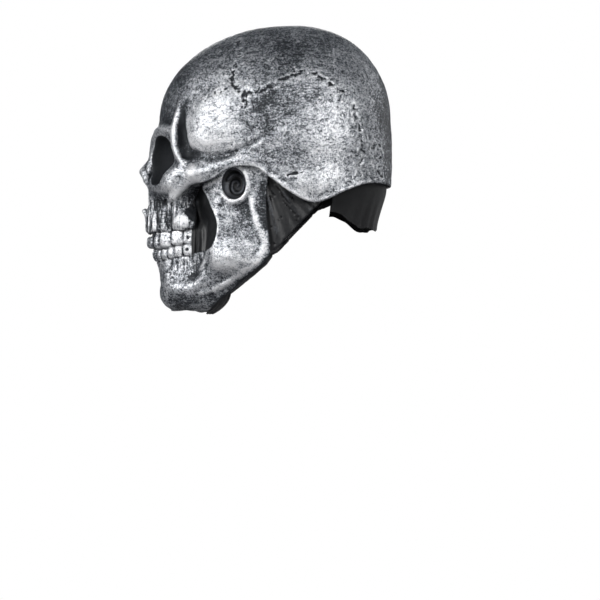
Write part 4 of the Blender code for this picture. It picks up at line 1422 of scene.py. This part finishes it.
strap, _ = sheet_object("chin_elastic", strap_point, 90, 14, ELASTIC)
finish(strap, elastic, "jaw", ["chin_strap"])

# Rivets and washers keep their CAD shapes.
steel = hardware("rivet_steel", (0.020, 0.020, 0.022), (0.16, 0.16, 0.17), 0.38, 1.0, 0.12)
nylon = hardware("washer_nylon", (0.010, 0.010, 0.010), (0.035, 0.035, 0.036), 0.5, 0.0, 0.05)
for side_name, _ in SIDES:
    for node, look in ((f"jaw_rivet_{side_name}", steel), (f"pivot_washer_{side_name}", nylon)):
        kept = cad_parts[node]
        kept.data.materials.clear()
        kept.data.materials.append(look)

# ---------------------------------------------------------------- floor, light and camera
WHITE = (1.0, 1.0, 1.0, 1.0)


def seen_white(tree, dim, output):
    """White to the camera, and dim to everything else."""
    nodes, links = tree.nodes, tree.links
    path = nodes.new("ShaderNodeLightPath")
    mix = nodes.new("ShaderNodeMixShader")
    shown = nodes.new("ShaderNodeBackground" if output.startswith("World") else "ShaderNodeEmission")
    shown.inputs["Color"].default_value = WHITE
    shown.inputs["Strength"].default_value = 1.0
    links.new(path.outputs["Is Camera Ray"], mix.inputs[0])
    links.new(dim, mix.inputs[1])
    links.new(shown.outputs[0], mix.inputs[2])
    links.new(mix.outputs[0], nodes[output].inputs["Surface"])


world = bpy.data.worlds.new("studio")
bpy.context.scene.world = world
world.use_nodes = True
world.node_tree.nodes["Background"].inputs["Color"].default_value = (0.75, 0.85, 1.0, 1.0)
world.node_tree.nodes["Background"].inputs["Strength"].default_value = 0.10
seen_white(world.node_tree, world.node_tree.nodes["Background"].outputs[0], "World Output")

FLOOR_Z = -0.142
floor_mesh = bpy.data.meshes.new("floor")
floor_mesh.from_pydata([(-6, -6, FLOOR_Z), (6, -6, FLOOR_Z), (6, 6, FLOOR_Z), (-6, 6, FLOOR_Z)], [],
                       [(0, 1, 2, 3)])
floor = bpy.data.objects.new("floor", floor_mesh)
bpy.context.scene.collection.objects.link(floor)
paper = bpy.data.materials.new("paper")
paper.use_nodes = True
paper.node_tree.nodes["Principled BSDF"].inputs["Base Color"].default_value = (0.25, 0.25, 0.26, 1.0)
seen_white(paper.node_tree, paper.node_tree.nodes["Principled BSDF"].outputs[0], "Material Output")
floor_mesh.materials.append(paper)


def softbox(name, place, aim, size, power):
    data = bpy.data.lights.new(name, "AREA")
    data.shape = "RECTANGLE"
    data.size, data.size_y = size
    data.energy = power
    lamp = bpy.data.objects.new(name, data)
    lamp.location = place
    lamp.rotation_euler = (Vector(aim) - Vector(place)).to_track_quat("-Z", "Y").to_euler()
    bpy.context.scene.collection.objects.link(lamp)


softbox("front_box", (1.15, -1.05, 0.42), (0, -0.02, 0.0), (0.6, 0.8), 22.0)
softbox("rear_box", (1.35, 0.82, 0.22), (0, 0.02, 0.0), (0.45, 1.0), 15.0)
softbox("far_box", (-1.7, -0.1, 0.4), (0, 0, 0), (0.9, 0.9), 9.0)
softbox("back_box", (-1.0, 1.5, 0.4), (0, 0, 0), (0.9, 0.9), 6.5)

camera_data = bpy.data.cameras.new("camera")
camera_data.lens = 100
camera = bpy.data.objects.new("camera", camera_data)
camera.location = (1.55, 0.0316, -0.116)
camera.rotation_euler = (math.radians(90), 0, math.radians(90))
bpy.context.scene.collection.objects.link(camera)
bpy.context.scene.camera = camera
bpy.context.scene.view_settings.view_transform = "Standard"
